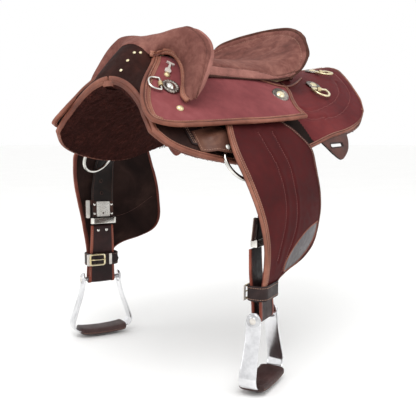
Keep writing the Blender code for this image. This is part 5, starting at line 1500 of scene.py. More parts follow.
def cantle_section(k, n_in=7):
    v = k / (NV - 1)
    j = NV - 1 + k
    rim, rn = NET[-1, j], NETN[-1, j]
    swing = math.radians(62.0) * v ** 1.2
    out = np.array([math.sin(swing), math.cos(swing), 0.0])
    inner = [NET[i, j] - NETN[i, j] * (seat_t[i, j] + 0.0012) for i in np.linspace(96, 78, n_in).astype(int)]
    foot = inner[-1]
    a = k / 5.0
    thick = 0.0095 - 0.0035 * (a / 8) ** 2
    top_out = inner[0] + out * thick
    ox, oy = rim[0] - out[0] * 0.006, rim[1] - out[1] * 0.010
    over = 1 - float(smoothstep(foot[0], 0.098, 0.102))

    up_k = float(smoothstep(k, 20, 38))

    def base(x, y, b):
        z = float(skin(x, y)) + 0.0016 + 0.0112 * b
        return z + (foot[2] - 0.004 - z) * up_k
    tuck = float(smoothstep(k, 12, 36))
    ox, oy = ox + (foot[0] - ox) * 0.80 * tuck, oy + (foot[1] - oy) * 0.80 * tuck + 0.004 * tuck
    y_step = min(max(0.0805, foot[1] + 0.002), oy - 0.004)
    t = (y_step - foot[1]) / max(oy - foot[1], 1e-6)
    mx = foot[0] + (ox - foot[0]) * t
    low_in = np.array([foot[0], foot[1], base(foot[0], foot[1], over)])
    mid_a = np.array([mx, y_step, base(mx, y_step, over)])
    mid_b = np.array([mx, y_step + 0.002, base(mx, y_step + 0.002, 0)])
    low_out = np.array([ox, oy, base(ox, oy, 0)])
    tip = [top_out - out * thick * 0.25 + np.array([0, 0, 0.0012]), top_out - np.array([0, 0, 0.0008])]
    back = []
    for q in np.linspace(0.08, 0.92, 9):
        bow = math.sin(pi * q) * 0.0030
        back.append(low_out * (1 - q) + top_out * q + out * bow)
    return np.array(inner + [low_in, mid_a, mid_b, low_out] + back + tip[::-1])


cs = [cantle_section(k) for k in range(0, 41)]
CS = np.stack([c * np.array([-1, 1, 1]) for c in cs[:0:-1]] + cs)
v_, f_, uv_ = rings_mesh(CS)
k_ = CS.shape[1]
fm = [0] * (len(f_))
make("cantle_back", v_, f_, ["burgundy_dark"], "saddle", "skirt_leather", ["cantle"], uv=uv_)
# leather strip along the cantle's outer top edge
edge = by_step(smooth_pts0(CS[14:-14, -3], 4), 0.003)
et = tangents(edge)
eo = perp(unit(edge * np.array([1, 1, 0]) - np.array([0, -0.02, 0])), et)
ez = np.cross(et, eo)
ez[ez[:, 2] < 0] *= -1
swept("cantle_edge_band", edge, eo, ez, np.array([(-0.0006, 0.0014), (0.0010, 0.0012), (0.0018, 0.0), (0.0020, -0.005), (0.0019, -0.010),
                                               (0.0012, -0.0112), (-0.0004, -0.0110), (-0.0012, -0.004)]), "dark",
      slot="skirt_leather")
stitches("cantle_stitch", [(edge + eo * 0.0020 - ez * 0.0085, eo)], "thread_brown")

# ================================================================ fenders
SLOPE_X, SLOPE_Y = -1.04, 0.18
PLANE_REF = (0.160, SWING_Y, -0.0496)
N = unit((-SLOPE_X, -SLOPE_Y, 1.0))
LATV = unit((0.0, 1.0, SLOPE_Y))
DOWN = np.cross(LATV, N)
if DOWN[0] < 0:
    DOWN = -DOWN


def on_plane(x, y, h):
    return np.array([x, y, PLANE_REF[2] + SLOPE_X * (x - PLANE_REF[0]) + SLOPE_Y * (y - PLANE_REF[1])]) + N * h


H_OUT = TAIL_T + GAP + STRAP_T + GAP + FENDER_T
FSTAT = []
for x, qf, qr in ((0.152, -0.048, 0.058), (0.170, -0.061, 0.067), (0.188, -0.074, 0.076), (0.205, -0.084, 0.089)):
    c = on_plane(x, SWING_Y, H_OUT)
    FSTAT.append((c + LATV * qf, c + LATV * qr, 0.0))
FSTAT += [(np.array(f), np.array(b), w) for f, b, w in (
    ((0.2262, -0.2600, -0.1200), (0.2290, -0.0570, -0.1040), 0.001),
    ((0.2370, -0.2555, -0.1440), (0.2310, -0.0440, -0.1380), 0.004),
    ((0.2465, -0.2485, -0.1720), (0.2305, -0.0320, -0.1700), 0.007),
    ((0.2530, -0.2400, -0.2000), (0.2295, -0.0245, -0.2000), 0.009),
    ((0.2565, -0.2305, -0.2310), (0.2270, -0.0225, -0.2310), 0.009),
    ((0.2570, -0.2235, -0.2600), (0.2225, -0.0245, -0.2600), 0.008),
    ((0.2560, -0.2200, -0.2820), (0.2205, -0.0320, -0.2820), 0.006),
    ((0.2540, -0.2180, -0.2990), (0.2205, -0.0510, -0.2990), 0.004),
    ((0.2520, -0.2170, -0.3120), (0.2260, -0.0860, -0.3110), 0.002),
    ((0.2505, -0.2165, -0.3220), (0.2320, -0.1250, -0.3190), 0.001),
    ((0.2490, -0.2165, -0.3320), (0.2330, -0.1530, -0.3300), 0.0),
    ((0.2475, -0.2170, -0.3420), (0.2320, -0.1610, -0.3420), 0.0),
    ((0.2465, -0.2175, -0.3520), (0.2312, -0.1630, -0.3520), 0.0))]
FF = np.array([s[0] for s in FSTAT])
FB = np.array([s[1] for s in FSTAT])
FW = np.array([[s[2], 0, 0] for s in FSTAT])
LASTF = len(FSTAT) - 1.0


def curve_at(pts, t):
    n = len(pts)
    i = min(int(t), n - 2)
    f = t - i
    b, c = pts[i], pts[i + 1]
    a = pts[i - 1] if i else 2 * b - c
    d = pts[i + 2] if i + 2 < n else 2 * c - b
    return 0.5 * (2 * b + (c - a) * f + (2 * a - 5 * b + 4 * c - d) * f * f + (3 * b - a - 3 * c + d) * f ** 3)


def fender_row(t):
    f, b, w = curve_at(FF, t), curve_at(FB, t), curve_at(FW, t)[0]
    mid = (FF + FB) / 2
    tan = curve_at(mid, min(t + 0.05, LASTF)) - curve_at(mid, max(t - 0.05, 0.0))
    out = unit(np.cross(b - f, tan))
    return f, b, w, (out if out[0] > 0 else -out)


def fender_surface(nu, nv):
    q = np.linspace(0, 1, nv)[:, None]
    rows = []
    for i in range(nu):
        f, b, w, out = fender_row(i * LASTF / (nu - 1))
        rows.append(f * (1 - q) + b * q + out * (w * (1 - (2 * q - 1) ** 2)))
    return np.stack(rows)


F_UP = (1, 0, 0.2)
FBODY = "left_fender_body"
fender_G = fender_surface(176, 92)
FN = grid_normals(fender_G, F_UP)
fender_tree0 = tree_of(fender_G)
f_px = [[(258, 131), (266, 145), (275, 160), (281, 175), (285, 190), (287, 207), (286, 225), (282, 245), (278, 262)],
        [(272, 130), (281, 147), (290, 165), (296, 190), (298, 208), (297, 225), (293, 241), (288, 255), (282, 273)]]
f_lines = [seen_line(fender_tree0, p) for p in f_px]
fender_top = vnoise(fender_G, 0.05, 51) * 0.0004
for A, _ in f_lines:
    if A is not None:
        d = path_distance(fender_G, spaced(A, 40))
        fender_top = fender_top - 0.0018 * np.exp(-(d / 0.0022) ** 2) + 0.0008 * np.exp(-((d - 0.007) / 0.005) ** 2)
PATCH = [(317.5, 221), (315, 233), (309.5, 245), (301, 257), (291, 267), (284, 273), (285, 264), (291, 252), (299, 240), (308, 229)]
pp = spaced(catmull(PATCH + [PATCH[0]]), 120)
pw = fender_G - CAM
depth = -(pw @ BACK)
fpx = 208 + (pw @ RIGHT) / depth * LENS / 36 * 416
fpy = 208 - (pw @ UPV) / depth * LENS / 36 * 416


def inside(px, py, poly):
    r = np.zeros(px.shape, bool)
    x0, y0 = poly[-1]
    for x1, y1 in poly:
        c = ((y1 > py) != (y0 > py)) & (px < (x0 - x1) * (py - y1) / (y0 - y1 + 1e-12) + x1)
        r ^= c
        x0, y0 = x1, y1
    return r


v_, f_, fm_, uv_, fT, fN = slab_mesh(fender_G, FENDER_T, F_UP, top=fender_top, edge=0.4)
nu_, nv_ = fender_G.shape[:2]
cx = (fpx[:-1, :-1] + fpx[1:, 1:]) / 2
cy = (fpy[:-1, :-1] + fpy[1:, 1:]) / 2
fm_[:cx.size] = np.where(inside(cx, cy, pp).ravel(), 2, 0)
make("left_fender_cloth", v_, f_, ["burgundy_dark", "felt", "patch"], FBODY, "skirt_leather", ["left_fender"], uv=uv_,
     face_mat=fm_)
fender_tree = tree_of(fT)
inner_F = fender_G - FN * (FENDER_T + 0.00005)
inner_tree = tree_of(inner_F)


def two_tone(k, split, n):
    """Material numbers for a swept strip: the part under the sheet is redder."""
    return np.where(np.tile(np.arange(k), n) >= split, 1, 0)


def bound(name, P, Z, O, w, t, th, mats, body, w2=None, seed=1, slot=None):
    prof = bind_profile(w, t, th, w2=w2)
    n1 = vnoise(P, 0.021, seed) * 0.10 + vnoise(P, 0.008, seed + 1) * 0.05
    centre = np.array([-w * 0.3, -t / 2])
    pr = centre + (prof - centre)[None] * (1 + n1[:, None, None] * np.array([0.5, 1.0]))
    k = len(prof)
    fm = np.concatenate([two_tone(k, 13, len(P) - 1), [0, 0]])
    swept(name, P, O, Z, pr, mats, body, face_mat=fm, slot=slot)


P, Z, O = chain(fender_G, FN, [("v0", 0.06, 1.0)])
bound("left_fender_front_binding", P, Z, O, 0.0062, FENDER_T, 0.0011, ["binding_pink", "binding_red"], FBODY, seed=61)
groove_line("left_fender_front_groove", P, Z, O, 0.0062, 0.0011, FBODY)
ln = offset_line(fender_tree, P, Z, O, 0.0090)
band("left_fender_front_band", ln[0], ln[1], 0.0052, 0.0011, "binding", FBODY)
stitches("left_fender_front_stitch", [offset_line(fender_tree, P, Z, O, 0.0102, 0.0011), offset_line(fender_tree, P, Z, O, 0.0045, 0.0014)],
         "thread", FBODY)
P, Z, O = chain(fender_G, FN, [("v1", 0.06, 1.0)])
bound("left_fender_rear_binding", P, Z, O, 0.0058, FENDER_T, 0.0011, ["edge_red", "binding_red"], FBODY, seed=63)
stitches("left_fender_rear_stitch", [offset_line(fender_tree, P, Z, O, 0.0044, 0.0014)], "thread", FBODY)
lines = []
for A, _ in f_lines:
    if A is not None:
        Q, n = settle(fender_tree, A, F_UP)
        lines += [(Q + n * 0.0001, n)]
stitches("left_fender_groove_stitch", lines, "thread_dark", FBODY)
pb = [h[0] for h in (hit(fender_tree, *p) for p in pp) if h is not None]
if len(pb) > 10:
    Q, n = settle(fender_tree, by_step(smooth_pts0(np.array(pb), 2), 0.0025), F_UP)
    band("left_fender_patch_border", Q, n, 0.0026, 0.0008, "binding", FBODY, sink=0.0004)
# stitch line of the patch on the felt side, as seen on the far fender
mirror = np.array([-1.0, 1, 1])
far_tree = tree_of(inner_F * mirror)
A, n = seen_line(far_tree, [(116, 216), (126, 213), (137, 207), (152, 196)])
if A is not None:
    A, n = A * mirror, n * mirror
    stitches("left_fender_felt_stitch", [(A - FN.mean((0, 1)) * 0.0002, n)], "thread_brown", FBODY)

# ================================================================ stirrup straps
YAW = math.radians(17.0)
E = np.array([-math.sin(YAW), math.cos(YAW), 0.0])
W = np.array([math.cos(YAW), math.sin(YAW), 0.0])
K = np.array([0.0, 0.0, 1.0])
BC = np.array([0.2285, -0.195, -0.3915])
BOLT_R, IRON_T, LEATHER_T, LEATHER_W = 0.0045, 0.0040, 0.0034, 0.060


def low(e, w, z):
    return BC + E * e + W * w + K * z


def section_dir(tilt, yaw):
    return unit((-math.sin(yaw), math.cos(yaw), tilt))


def under_fender(t, y, gap):
    f, b, w, out = fender_row(t)
    fr = (y - f[1]) / (b[1] - f[1])
    p = f + (b - f) * fr + out * (w * (1 - (2 * fr - 1) ** 2))
    return p - out * (FENDER_T + gap), unit(b - f)


SP = [(on_plane(0.140, SWING_Y, TAIL_T + GAP + STRAP_T), LATV)]
SP += [under_fender(t, y, gap) for t, y, gap in (
    (0.0, -0.1700, 0.0003), (1.0, -0.1700, 0.0003), (2.0, -0.1702, 0.0004), (3.0, -0.1710, 0.0010),
    (4.0, -0.1745, 0.0022), (5.0, -0.1790, 0.0036))]
SP.append((np.array([0.2300, -0.1835, -0.1720]), section_dir(0.0, math.radians(9.0))))
S_TOP, S_END = np.array([0.2285, -0.1880, -0.2020]), np.array([0.2225, -0.1920, -0.2720])
for f in (0.0, 0.5, 1.0):
    SP.append((S_TOP * (1 - f) + S_END * f, section_dir(0.0, math.radians(15.0))))
s_at = np.concatenate([[0], np.cumsum([np.linalg.norm(b[0] - a[0]) for a, b in zip(SP, SP[1:])])])
s_at /= s_at[-1]
cen = spline([s[0] for s in SP], 150)
sd = unit(np.array([[lerp_table([(a, s[1][c]) for a, s in zip(s_at, SP)], u) for c in range(3)]
                    for u in np.linspace(0, 1, 150)]))
cols_ = np.linspace(-0.025, 0.025, 17)
strap_G = cen[:, None] + sd[:, None] * cols_[None, :, None]
S_UP = (1, 0, 0.3)
edge_round = -0.0005 * (np.abs(cols_ / 0.025)[None] ** 8) + 0 * strap_G[..., 0]
strap_tree, strap_T, strap_N = slab("left_stirrup_strap_leather", strap_G, STRAP_T, "strap", S_UP, FBODY, "strap_leather",
                                    ["left_stirrup_strap"], top=edge_round, bot=edge_round + vnoise(strap_G, 0.01, 71) * 0.0001,
                                    edge=0.7)
strap_in = strap_G - strap_N * (STRAP_T + 0.0002)
strap_in_tree = tree_of(strap_in)
lines = []
for j in (1, 15):
    P = by_step(strap_in[30:, j], 0.003)
    Q, n = settle(strap_in_tree, P, (-1, 0, -0.2))
    lines.append((Q + n * 0.0003, n))
stitches("left_strap_stitch", lines, "thread_brown", FBODY)
far_strap = tree_of(strap_in * mirror)
# strap holes drawn as black discs in a raised rim: the black disc is painted shade for the hole's inside
for k, (a, b) in enumerate([(101, 181), (101.5, 193)]):
    h = hit(far_strap, a, b)
    if h is not None:
        turned("left_strap_hole_%d" % (k + 1), [(0, -0.0002), (0.0020, -0.0002), (0.0024, 0.0006), (0.0030, 0.0008), (0.0036, 0.0004),
                                                (0.0037, -0.0004), (0, -0.0005)], h[0] * mirror, h[1] * mirror, ["painted_hole_shade", "slider"], FBODY,
               face_mat=lambda i: 0 if i < 2 else 1, steps=20)

# length plate on its leather backing, inside the strap
S_DIR = unit(S_END - S_TOP)
S_LAT = section_dir(0.0, math.radians(15.0))
S_LAT = perp(S_LAT, S_DIR)
S_IN = np.cross(S_DIR, S_LAT)
if S_IN[0] > 0:
    S_IN = -S_IN
lp_c = S_TOP * 0.465 + S_END * 0.535


def rounded_box(hw, hh, r, n=6):
    return round_outline([(-hw, -hh), (hw, -hh), (hw, hh), (-hw, hh)], r, n)


flat_shape("left_length_backing", rounded_box(0.0232, 0.0168, 0.003), [], 0.0020, lp_c + S_IN * (STRAP_T + 0.0002), S_IN, S_LAT,
           "slider", FBODY, 0.0007)
hole = [(0.0021 * math.cos(a), 0.009 + 0.0021 * math.sin(a)) for a in np.linspace(0, 2 * pi, 15)[:-1]]
# the plate's pale, partly diffuse nickel is painted reflection
flat_shape("left_length_plate_nickel", rounded_box(0.0150, 0.0162, 0.0022), [hole], 0.0012, lp_c + S_IN * (STRAP_T + 0.0022), S_IN,
           S_LAT, "bright", FBODY, 0.0004, slot="nickel_plate", rep=["left_length_plate"])
for k, (a, b) in enumerate([(-0.0195, 0.010), (0.0195, 0.010), (-0.0195, -0.010), (0.0195, -0.010)]):
    yd = np.cross(S_IN, perp(S_LAT, S_IN))
    dome("left_length_rivet_%d" % (k + 1), lp_c + S_IN * (STRAP_T + 0.0022) + S_LAT * a + yd * b, S_IN, 0.0030, 0.0014, "nickel", FBODY,
         steps=18)
# slider bar at the strap's front edge: leather outside, metal inside
bar_c = lp_c - S_LAT * 0.0345 + S_IN * 0.0012
flat_shape("left_slider_bar_leather", rounded_box(0.0048, 0.0200, 0.003), [], 0.0022, bar_c, S_IN, S_LAT, "slider", FBODY, 0.0006)
flat_shape("left_slider_bar_metal", rounded_box(0.0042, 0.0192, 0.0026), [], 0.0014, bar_c + S_IN * 0.0023, S_IN, S_LAT, "satin", FBODY,
           0.0004)
flat_shape("left_slider_arm", rounded_box(0.0080, 0.0052, 0.001), [], 0.0018, bar_c - S_DIR * 0.0140 + S_LAT * 0.0070 + S_IN * 0.0001, S_IN, S_LAT,
           "slider", FBODY, 0.0004)


def ring_path(e0, e1, w0, w1, r, n=12):
    """Rounded rectangle in the plane across the strap: points and outward normals."""
    P, O = [], []
    for cx, cw, a0 in ((e1 - r, w1 - r, 0), (e0 + r, w1 - r, 90), (e0 + r, w0 + r, 180), (e1 - r, w0 + r, 270)):
        for a in np.radians(np.linspace(a0, a0 + 90, n)):
            P.append((cx + r * math.cos(a), cw + r * math.sin(a)))
            O.append((math.cos(a), math.sin(a)))
    P, O = np.array(P), np.array(O)
    Pc = np.vstack([P, P[:1]])
    s = np.concatenate([[0], np.cumsum(np.linalg.norm(np.diff(Pc, axis=0), axis=1))])
    Oc = np.vstack([O, O[:1]])
    m = max(40, int(s[-1] / 0.0022))
    q = np.linspace(0, s[-1], m + 1)[:-1]
    P = np.stack([np.interp(q, s, Pc[:, c]) for c in (0, 1)], -1)
    O = unit(np.stack([np.interp(q, s, Oc[:, c]) for c in (0, 1)], -1))
    return P, O


def ring_band(name, e0, e1, w0, w1, z0, z1, wall, r, mats, body, wave=0.0, seed=5, **kw):
    h = wall / 2
    P2, O2 = ring_path(e0 + h, e1 - h, w0 + h, w1 - h, r)
    P = BC + E * P2[:, :1] + W * P2[:, 1:] + K * ((z0 + z1) / 2)
    O = E * O2[:, :1] + W * O2[:, 1:]
    P = P + O * (vnoise(P, 0.012, seed) * wave)[:, None]
    prof = circle(20, h, (z1 - z0) / 2, 0.30)
    swept(name, P, O, np.broadcast_to(K, P.shape), prof, mats, body, True, **kw)
    return P, O


ring_band("left_sleeve_nickel", -0.0234, 0.0330, -0.0150, -0.0008, 0.1215, 0.1345, 0.0012, 0.003, "nickel", "left_sleeve_body",
          slot="nickel_plate", rep=["left_sleeve"])

# ================================================================ lower leather
LR = BOLT_R + 0.0006


def loop_path(r, n=58):
    pts = [(-0.0125 - (r - LR), 0.1180), (-r - 0.0015 - 0.0045, 0.075), (-r - 0.0015, 0.035), (-r, 0.012)]
    pts += [(-r * math.cos(a), -r * math.sin(a)) for a in np.radians((0, 30, 60, 90, 120, 150, 180))]
    pts += [(r, 0.012), (0.0040 + (r - LR), 0.0385)]
    return spline([(a, b, 0) for a, b in pts], n)[:, :2]


HALF = LEATHER_W / 2
es = np.array([-1, -0.97, -0.88, -0.80, -0.76, -0.6, -0.4, -0.2, 0, 0.2, 0.4, 0.6, 0.76, 0.80, 0.88, 0.97, 1.0])
secs = []
for e in es:
    raised = 0.0007 if 0.79 < abs(e) < 0.99 else 0.0
    crown = 0.0004 * (1 - min(1, (e / 0.7) ** 2))
    o = loop_path(LR + LEATHER_T + raised + crown - (0.0012 if abs(e) > 0.99 else 0))
    i = loop_path(LR + (0.0008 if abs(e) > 0.99 else 0.0))
    sec = np.vstack([o, i[::-1]])
    taper = 1.0 - 0.17 * np.clip(sec[:, 1] / 0.118, 0, 1)
    secs.append(BC + E * (HALF * e * taper)[:, None] + W * sec[:, :1] + K * sec[:, 1:])
LS = np.stack(secs)
v_, f_, uv_ = rings_mesh(LS)
fm = np.concatenate([np.repeat([1 if abs((a + b) / 2) > 0.79 else 0 for a, b in zip(es, es[1:])], LS.shape[1]), [1, 1]])
make("left_lower_leather_loop", v_, f_, ["tongue", "tan"], FBODY, "tan_leather", ["left_lower_leather"], uv=uv_, face_mat=fm)
loop_tree = BVHTree.FromPolygons([Vector(p) for p in LS.reshape(-1, 3)],
                                 [f for f in f_ if len(f) == 4])
lines = []
for s in (-1, 1):
    pts = []
    for z in np.linspace(0.112, 0.004, 44):
        e = s * HALF * 0.90 * (1 - 0.17 * z / 0.118)
        loc, n, _, _ = loop_tree.ray_cast(Vector(low(e, -0.05, z)), Vector(W))
        if loc is not None:
            pts.append(np.array(loc))
    if len(pts) > 4:
        P = np.array(pts)
        nz = np.broadcast_to(-W, P.shape)
        lines.append((P - W * 0.0001, nz))
stitches("left_lower_leather_stitch", lines, "thread", FBODY)
for k, e in enumerate((-0.0095, 0.0095)):
    loc, n, _, _ = loop_tree.ray_cast(Vector(low(e, -0.05, 0.108)), Vector(W))
    if loc is not None:
        dome("left_tongue_rivet_%d" % (k + 1), np.array(loc), -W, 0.0034, 0.0016, "nickel", FBODY, steps=18)

# ================================================================ hobble straps
HZ0, HZ1 = 0.0310, 0.0575
hp, ho = ring_band("left_hobble_strap_leather", -0.0335, 0.0375, -0.0195, 0.0185, HZ0, HZ1, 0.0026, 0.0125, "dark", FBODY, wave=0.0004,
                   slot="dark_leather", rep=["left_hobble_strap"])
top_l = hp + ho * 0.00142 + K * 0.0098
low_l = hp + ho * 0.00142 - K * 0.0098
stitches("left_hobble_stitch", [(np.vstack([top_l, top_l[:1]]), np.vstack([ho, ho[:1]])),
                                (np.vstack([low_l, low_l[:1]]), np.vstack([ho, ho[:1]]))], "thread", FBODY)
zc = (HZ0 + HZ1) / 2
bk_c = low(-0.0140, -0.0195 - 0.0018, zc)
bp = np.array(round_outline([(-0.0162, -0.0112), (0.0162, -0.0112), (0.0162, 0.0112), (-0.0162, 0.0112)], 0.0045, 7))
bp = spaced(np.vstack([bp, bp[:1]]), 61)[:-1]
BPt = bk_c + E * bp[:, :1] + K * bp[:, 1:]
tube("left_hobble_buckle_frame", BPt, 0.0017, -W, "brass_light", FBODY, True, 12, 0.0021, slot="brass_hardware",
     rep=["left_hobble_buckle"])
tube("left_hobble_prong", np.array([bk_c - E * 0.0162 - W * 0.0006, bk_c - E * 0.005 - W * 0.0022, bk_c + E * 0.008 - W * 0.0024,
                                    bk_c + E * 0.0178 - W * 0.0018]), 0.0012, K, "brass_light", FBODY, k=10, slot="brass_hardware")
# free end of the strap, its tip past the buckle, and a keeper
tip = np.array([(-0.010, -0.0098), (0.030, -0.0098), (0.036, -0.0070), (0.0385, 0.0), (0.036, 0.0070), (0.030, 0.0098), (-0.010, 0.0098)])
flat_shape("left_hobble_strap_end", [tuple(p) for p in tip], [], 0.0018, low(-0.004, -0.0197, zc), -W, E, "dark", FBODY, 0.0006,
           slot="dark_leather")
kp = np.array(round_outline([(-0.0030, -0.0118), (0.0030, -0.0118), (0.0030, 0.0118), (-0.0030, 0.0118)], 0.001, 4))
flat_shape("left_hobble_keeper", [tuple(p) for p in kp], [], 0.0016, low(0.0150, -0.0216, zc), -W, E, "satin", FBODY, 0.0005)
kp2 = [tuple(p) for p in round_outline([(-0.0045, -0.0125), (0.0045, -0.0125), (0.0045, 0.0125), (-0.0045, 0.0125)], 0.0015, 4)]
flat_shape("left_hobble_front_keeper", kp2, [], 0.0016, low(-0.0330, -0.0197, zc), -W, E, "satin", FBODY, 0.0005)

# ================================================================ stirrups
IRON = [(0.0400, 0.0135), (0.0400, 0.0080), (0.0404, 0.0), (0.0412, -0.010), (0.0460, -0.033), (0.0560, -0.063), (0.0640, -0.086),
        (0.0660, -0.098), (0.0590, -0.1095), (0.040, -0.1130), (0.020, -0.1145), (0.0, -0.1150)]
IW = [0.0090, 0.0200, 0.0270, 0.0285, 0.0275, 0.0290, 0.0310, 0.0320, 0.0320, 0.030, 0.028, 0.028]
full_i = [(-e, z, w) for (e, z), w in zip(IRON, IW)] + [(e, z, w) for (e, z), w in list(zip(IRON, IW))[-2::-1]]
ip = spline(full_i, 150)
SB = "left_stirrup_body"
it = unit(np.gradient(ip[:, :2], axis=0))
inorm = np.stack([-it[:, 1], it[:, 0]], -1)
IP = BC + E * ip[:, :1] + K * ip[:, 1:2]
IA = np.broadcast_to(W, IP.shape)
IB = E * inorm[:, :1] + K * inorm[:, 1:2]
sec = circle(24, 1.0, 1.0, 0.42)
prof = np.stack([np.stack([sec[:, 0] * w / 2 * 0.985, sec[:, 1] * IRON_T / 2], -1) for w in ip[:, 2]])
swept("left_stirrup_iron", IP, IA, IB, prof, "alu", SB, slot="cast_aluminium", rep=["left_stirrup"])
for k, s in enumerate((-1, 1)):
    c = low(s * (0.0403 + IRON_T / 2 - 0.0012), 0, 0)
    turned("left_stirrup_boss_%d" % (k + 1), [(0, 0.0048), (0.0050, 0.0048), (0.0058, 0.0040), (0.0062, 0.0026), (0.0100, 0.0026),
                                              (0.0122, 0.0018), (0.0128, 0.0002), (0.0124, -0.0022), (0, -0.0026)], c, E * s,
           ["satin", "alu_edge"], SB, face_mat=lambda i: 0 if i < 2 else 1, steps=36, slot="cast_aluminium")
half_run = sorted((e, z) for e, z in IRON[8:])


def iron_z(e):
    e = abs(e)
    for (a, za), (b, zb) in zip(half_run, half_run[1:]):
        if e <= b:
            return za + (zb - za) * (e - a) / (b - a)
    return half_run[-1][1]


te = np.linspace(-0.0515, 0.0515, 181)
tr = []
for e in te:
    end = min(1.0, (0.0515 - abs(e)) / 0.004)
    swell = 0.80 + 0.20 * math.sin(end * pi / 2)
    rib = 0.00055 * math.cos(2 * pi * e / 0.0034) * (1 if end >= 1 else 0)
    s = circle(44, 0.0232 + rib * 0.4, 0.0076 + rib, 0.55)
    tr.append(BC + E * e + W * (s[:, :1] * swell) + K * (iron_z(e) + s[:, 1:] * swell))
TR = np.stack(tr)
v_, f_, uv_ = rings_mesh(TR)
make("left_tread_leather", v_, f_, "tread", SB, "dark_leather", ["left_tread"], uv=uv_, fill=0.5)
lines = []
for s in (-1, 1):
    P = np.array([low(e, s * 0.0226, iron_z(e) - 0.0022) for e in np.linspace(-0.048, 0.048, 40)])
    lines.append((P, np.broadcast_to(W * s, P.shape)))
stitches("left_tread_stitch", lines, "thread", SB, pitch=0.0048, long=0.0034, r=0.0006)

# ================================================================ rigging
RIG_TOP, RING_R, RING_WIRE = 0.0026, 0.0395, 0.0035
tt_ = np.linspace(0, 1, 44)[:, None]
qq_ = np.linspace(0, 1, 60)[None]
so_ = spline([(x, y, 0) for x, y in SKIRT_OUTER], 200)
ry = (-0.306 + 0.004 * tt_) + ((-0.150 - 0.030 * tt_) - (-0.306 + 0.004 * tt_)) * qq_
rx = 0.126 + (np.interp(ry, so_[:, 1], so_[:, 0]) - 0.0105 - 0.126) * tt_
rig_G = lift(rx, ry, RIG_TOP)
rig_top = vnoise(rig_G, 0.02, 81) * 0.0003
rig_tree, rig_T, rig_N = slab("left_rigging_plate_leather", rig_G, 0.0020, "dark", UP, slot="dark_leather", rep=["left_rigging_plate"],
                              top=rig_top, edge=0.7)
P, Z, O = chain(rig_G, grid_normals(rig_G, UP), [("v0", 0, 1), ("u1", 0, 1), ("v1", 1, 0)])
rl = [offset_line(rig_tree, P, Z, O, 0.004, 0.0001), offset_line(rig_tree, P, Z, O, 0.0075, 0.0001)]
for pxs in ([(201, 124), (206, 138), (212, 152)], [(226, 124), (218, 138), (212, 152)]):
    A, n = seen_line(rig_tree, pxs)
    if A is not None:
        rl.append((A + n * 0.0001, n))
stitches("left_rigging_stitch", rl, "thread")
for k, (a, b) in enumerate(((214, 156), (204, 150))):
    h = hit(rig_tree, a, b)
    if h is not None:
        dome("left_rigging_rivet_%d" % (k + 1), h[0], h[1], 0.0044, 0.0018, "nickel", steps=20)

# cover over the upper half of the rigging ring
cy = -0.292 + 0.066 * qq_ + 0 * tt_
cx = 0.150 + (np.interp(cy, so_[:, 1], so_[:, 0]) - 0.0045 - 0.150) * tt_
ch = 0.0032 + 0.0108 * smoothstep(cy, -0.284, -0.262) * smoothstep(cx, 0.152, 0.166)
cover_G = lift(cx, cy, ch)
cover_tree, cover_T, cover_N = slab("left_rigging_cover_leather", cover_G, 0.0020, "plate", UP, slot="dark_leather",
                                    top=vnoise(cover_G, 0.02, 82) * 0.0004, edge=0.7)
P, Z, O = chain(cover_G, grid_normals(cover_G, UP), [("v0", 0, 1), ("u1", 0, 1)])
stitches("left_rigging_cover_stitch", [offset_line(cover_tree, P, Z, O, 0.0035, 0.0001)], "thread")
for k, (a, b) in enumerate(((228, 147), (231, 158))):
    h = hit(cover_tree, a, b)
    if h is not None:
        dome("left_rigging_cover_rivet_%d" % (k + 1), h[0], h[1], 0.0046, 0.0020, "bright", steps=20)

RING_X, RING_Y = 0.1965, -0.2140
rn = skin_normal(RING_X, RING_Y).reshape(3)
rc = lift(RING_X, RING_Y, RIG_TOP + RING_WIRE + 0.0014).reshape(3)
rd = perp(np.array([1, 0, -2 * steep(RING_Y) * RING_X]), rn)
rl_ = np.cross(rn, rd)
rtop = rc - rd * RING_R


def turn_about(v, axis, a):
    axis = unit(axis)
    return v * math.cos(a) + np.cross(axis, v) * math.sin(a) + axis * (axis @ v) * (1 - math.cos(a))


rd = turn_about(rd, rl_, math.radians(2.9))
rn = turn_about(rn, rl_, math.radians(2.9))
rc = rtop + rd * RING_R
a_ = np.linspace(0, 2 * pi, 97)[:-1, None]
tube("left_rigging_ring_wire", rc - rd * (RING_R * np.cos(a_)) + rl_ * (RING_R * np.sin(a_)), RING_WIRE, rn, "nickel",
     "left_rigging_ring_body", True, 18, slot="nickel_wire", rep=["left_rigging_ring"])


def saddle_loop(name, c, along, up, lat, width, r_wire, reach, mat, t=0.0014, drop=0.0, body="saddle", drop2=None):
    """Strap end over a wire at c: feet reach out along +-along on the surface."""
    r = r_wire + 0.0008 + t / 2
    drop2 = drop if drop2 is None else drop2
    pts = [c - along * reach - up * drop, c - along * (reach * 0.55) - up * drop * 0.9, c - along * (r * 1.25) - up * (drop * 0.45)]
    pts += [c - along * (r * math.cos(b)) + up * (r * math.sin(b)) for b in np.radians((35, 65, 90, 115, 145))]
    pts += [c + along * (r * 1.10) - up * (drop2 * 0.35), c + along * (r * 1.05) - up * drop2]
    P = by_step(catmull(np.array(pts), 8), 0.0012)
    T = tangents(P)
    A = np.broadcast_to(lat, P.shape)
    B = np.cross(T, A)
    prof = circle(20, width / 2, t / 2, 0.32)
    return swept(name, P, A, B, prof, mat, body)


ringtop = rc - rd * RING_R
surf_drop = RING_WIRE + 0.0014 - 0.0004
saddle_loop("left_ring_keeper", ringtop, rd, rn, np.cross(rn, rd), 0.024, RING_WIRE, 0.026, "dark", 0.0018, surf_drop)

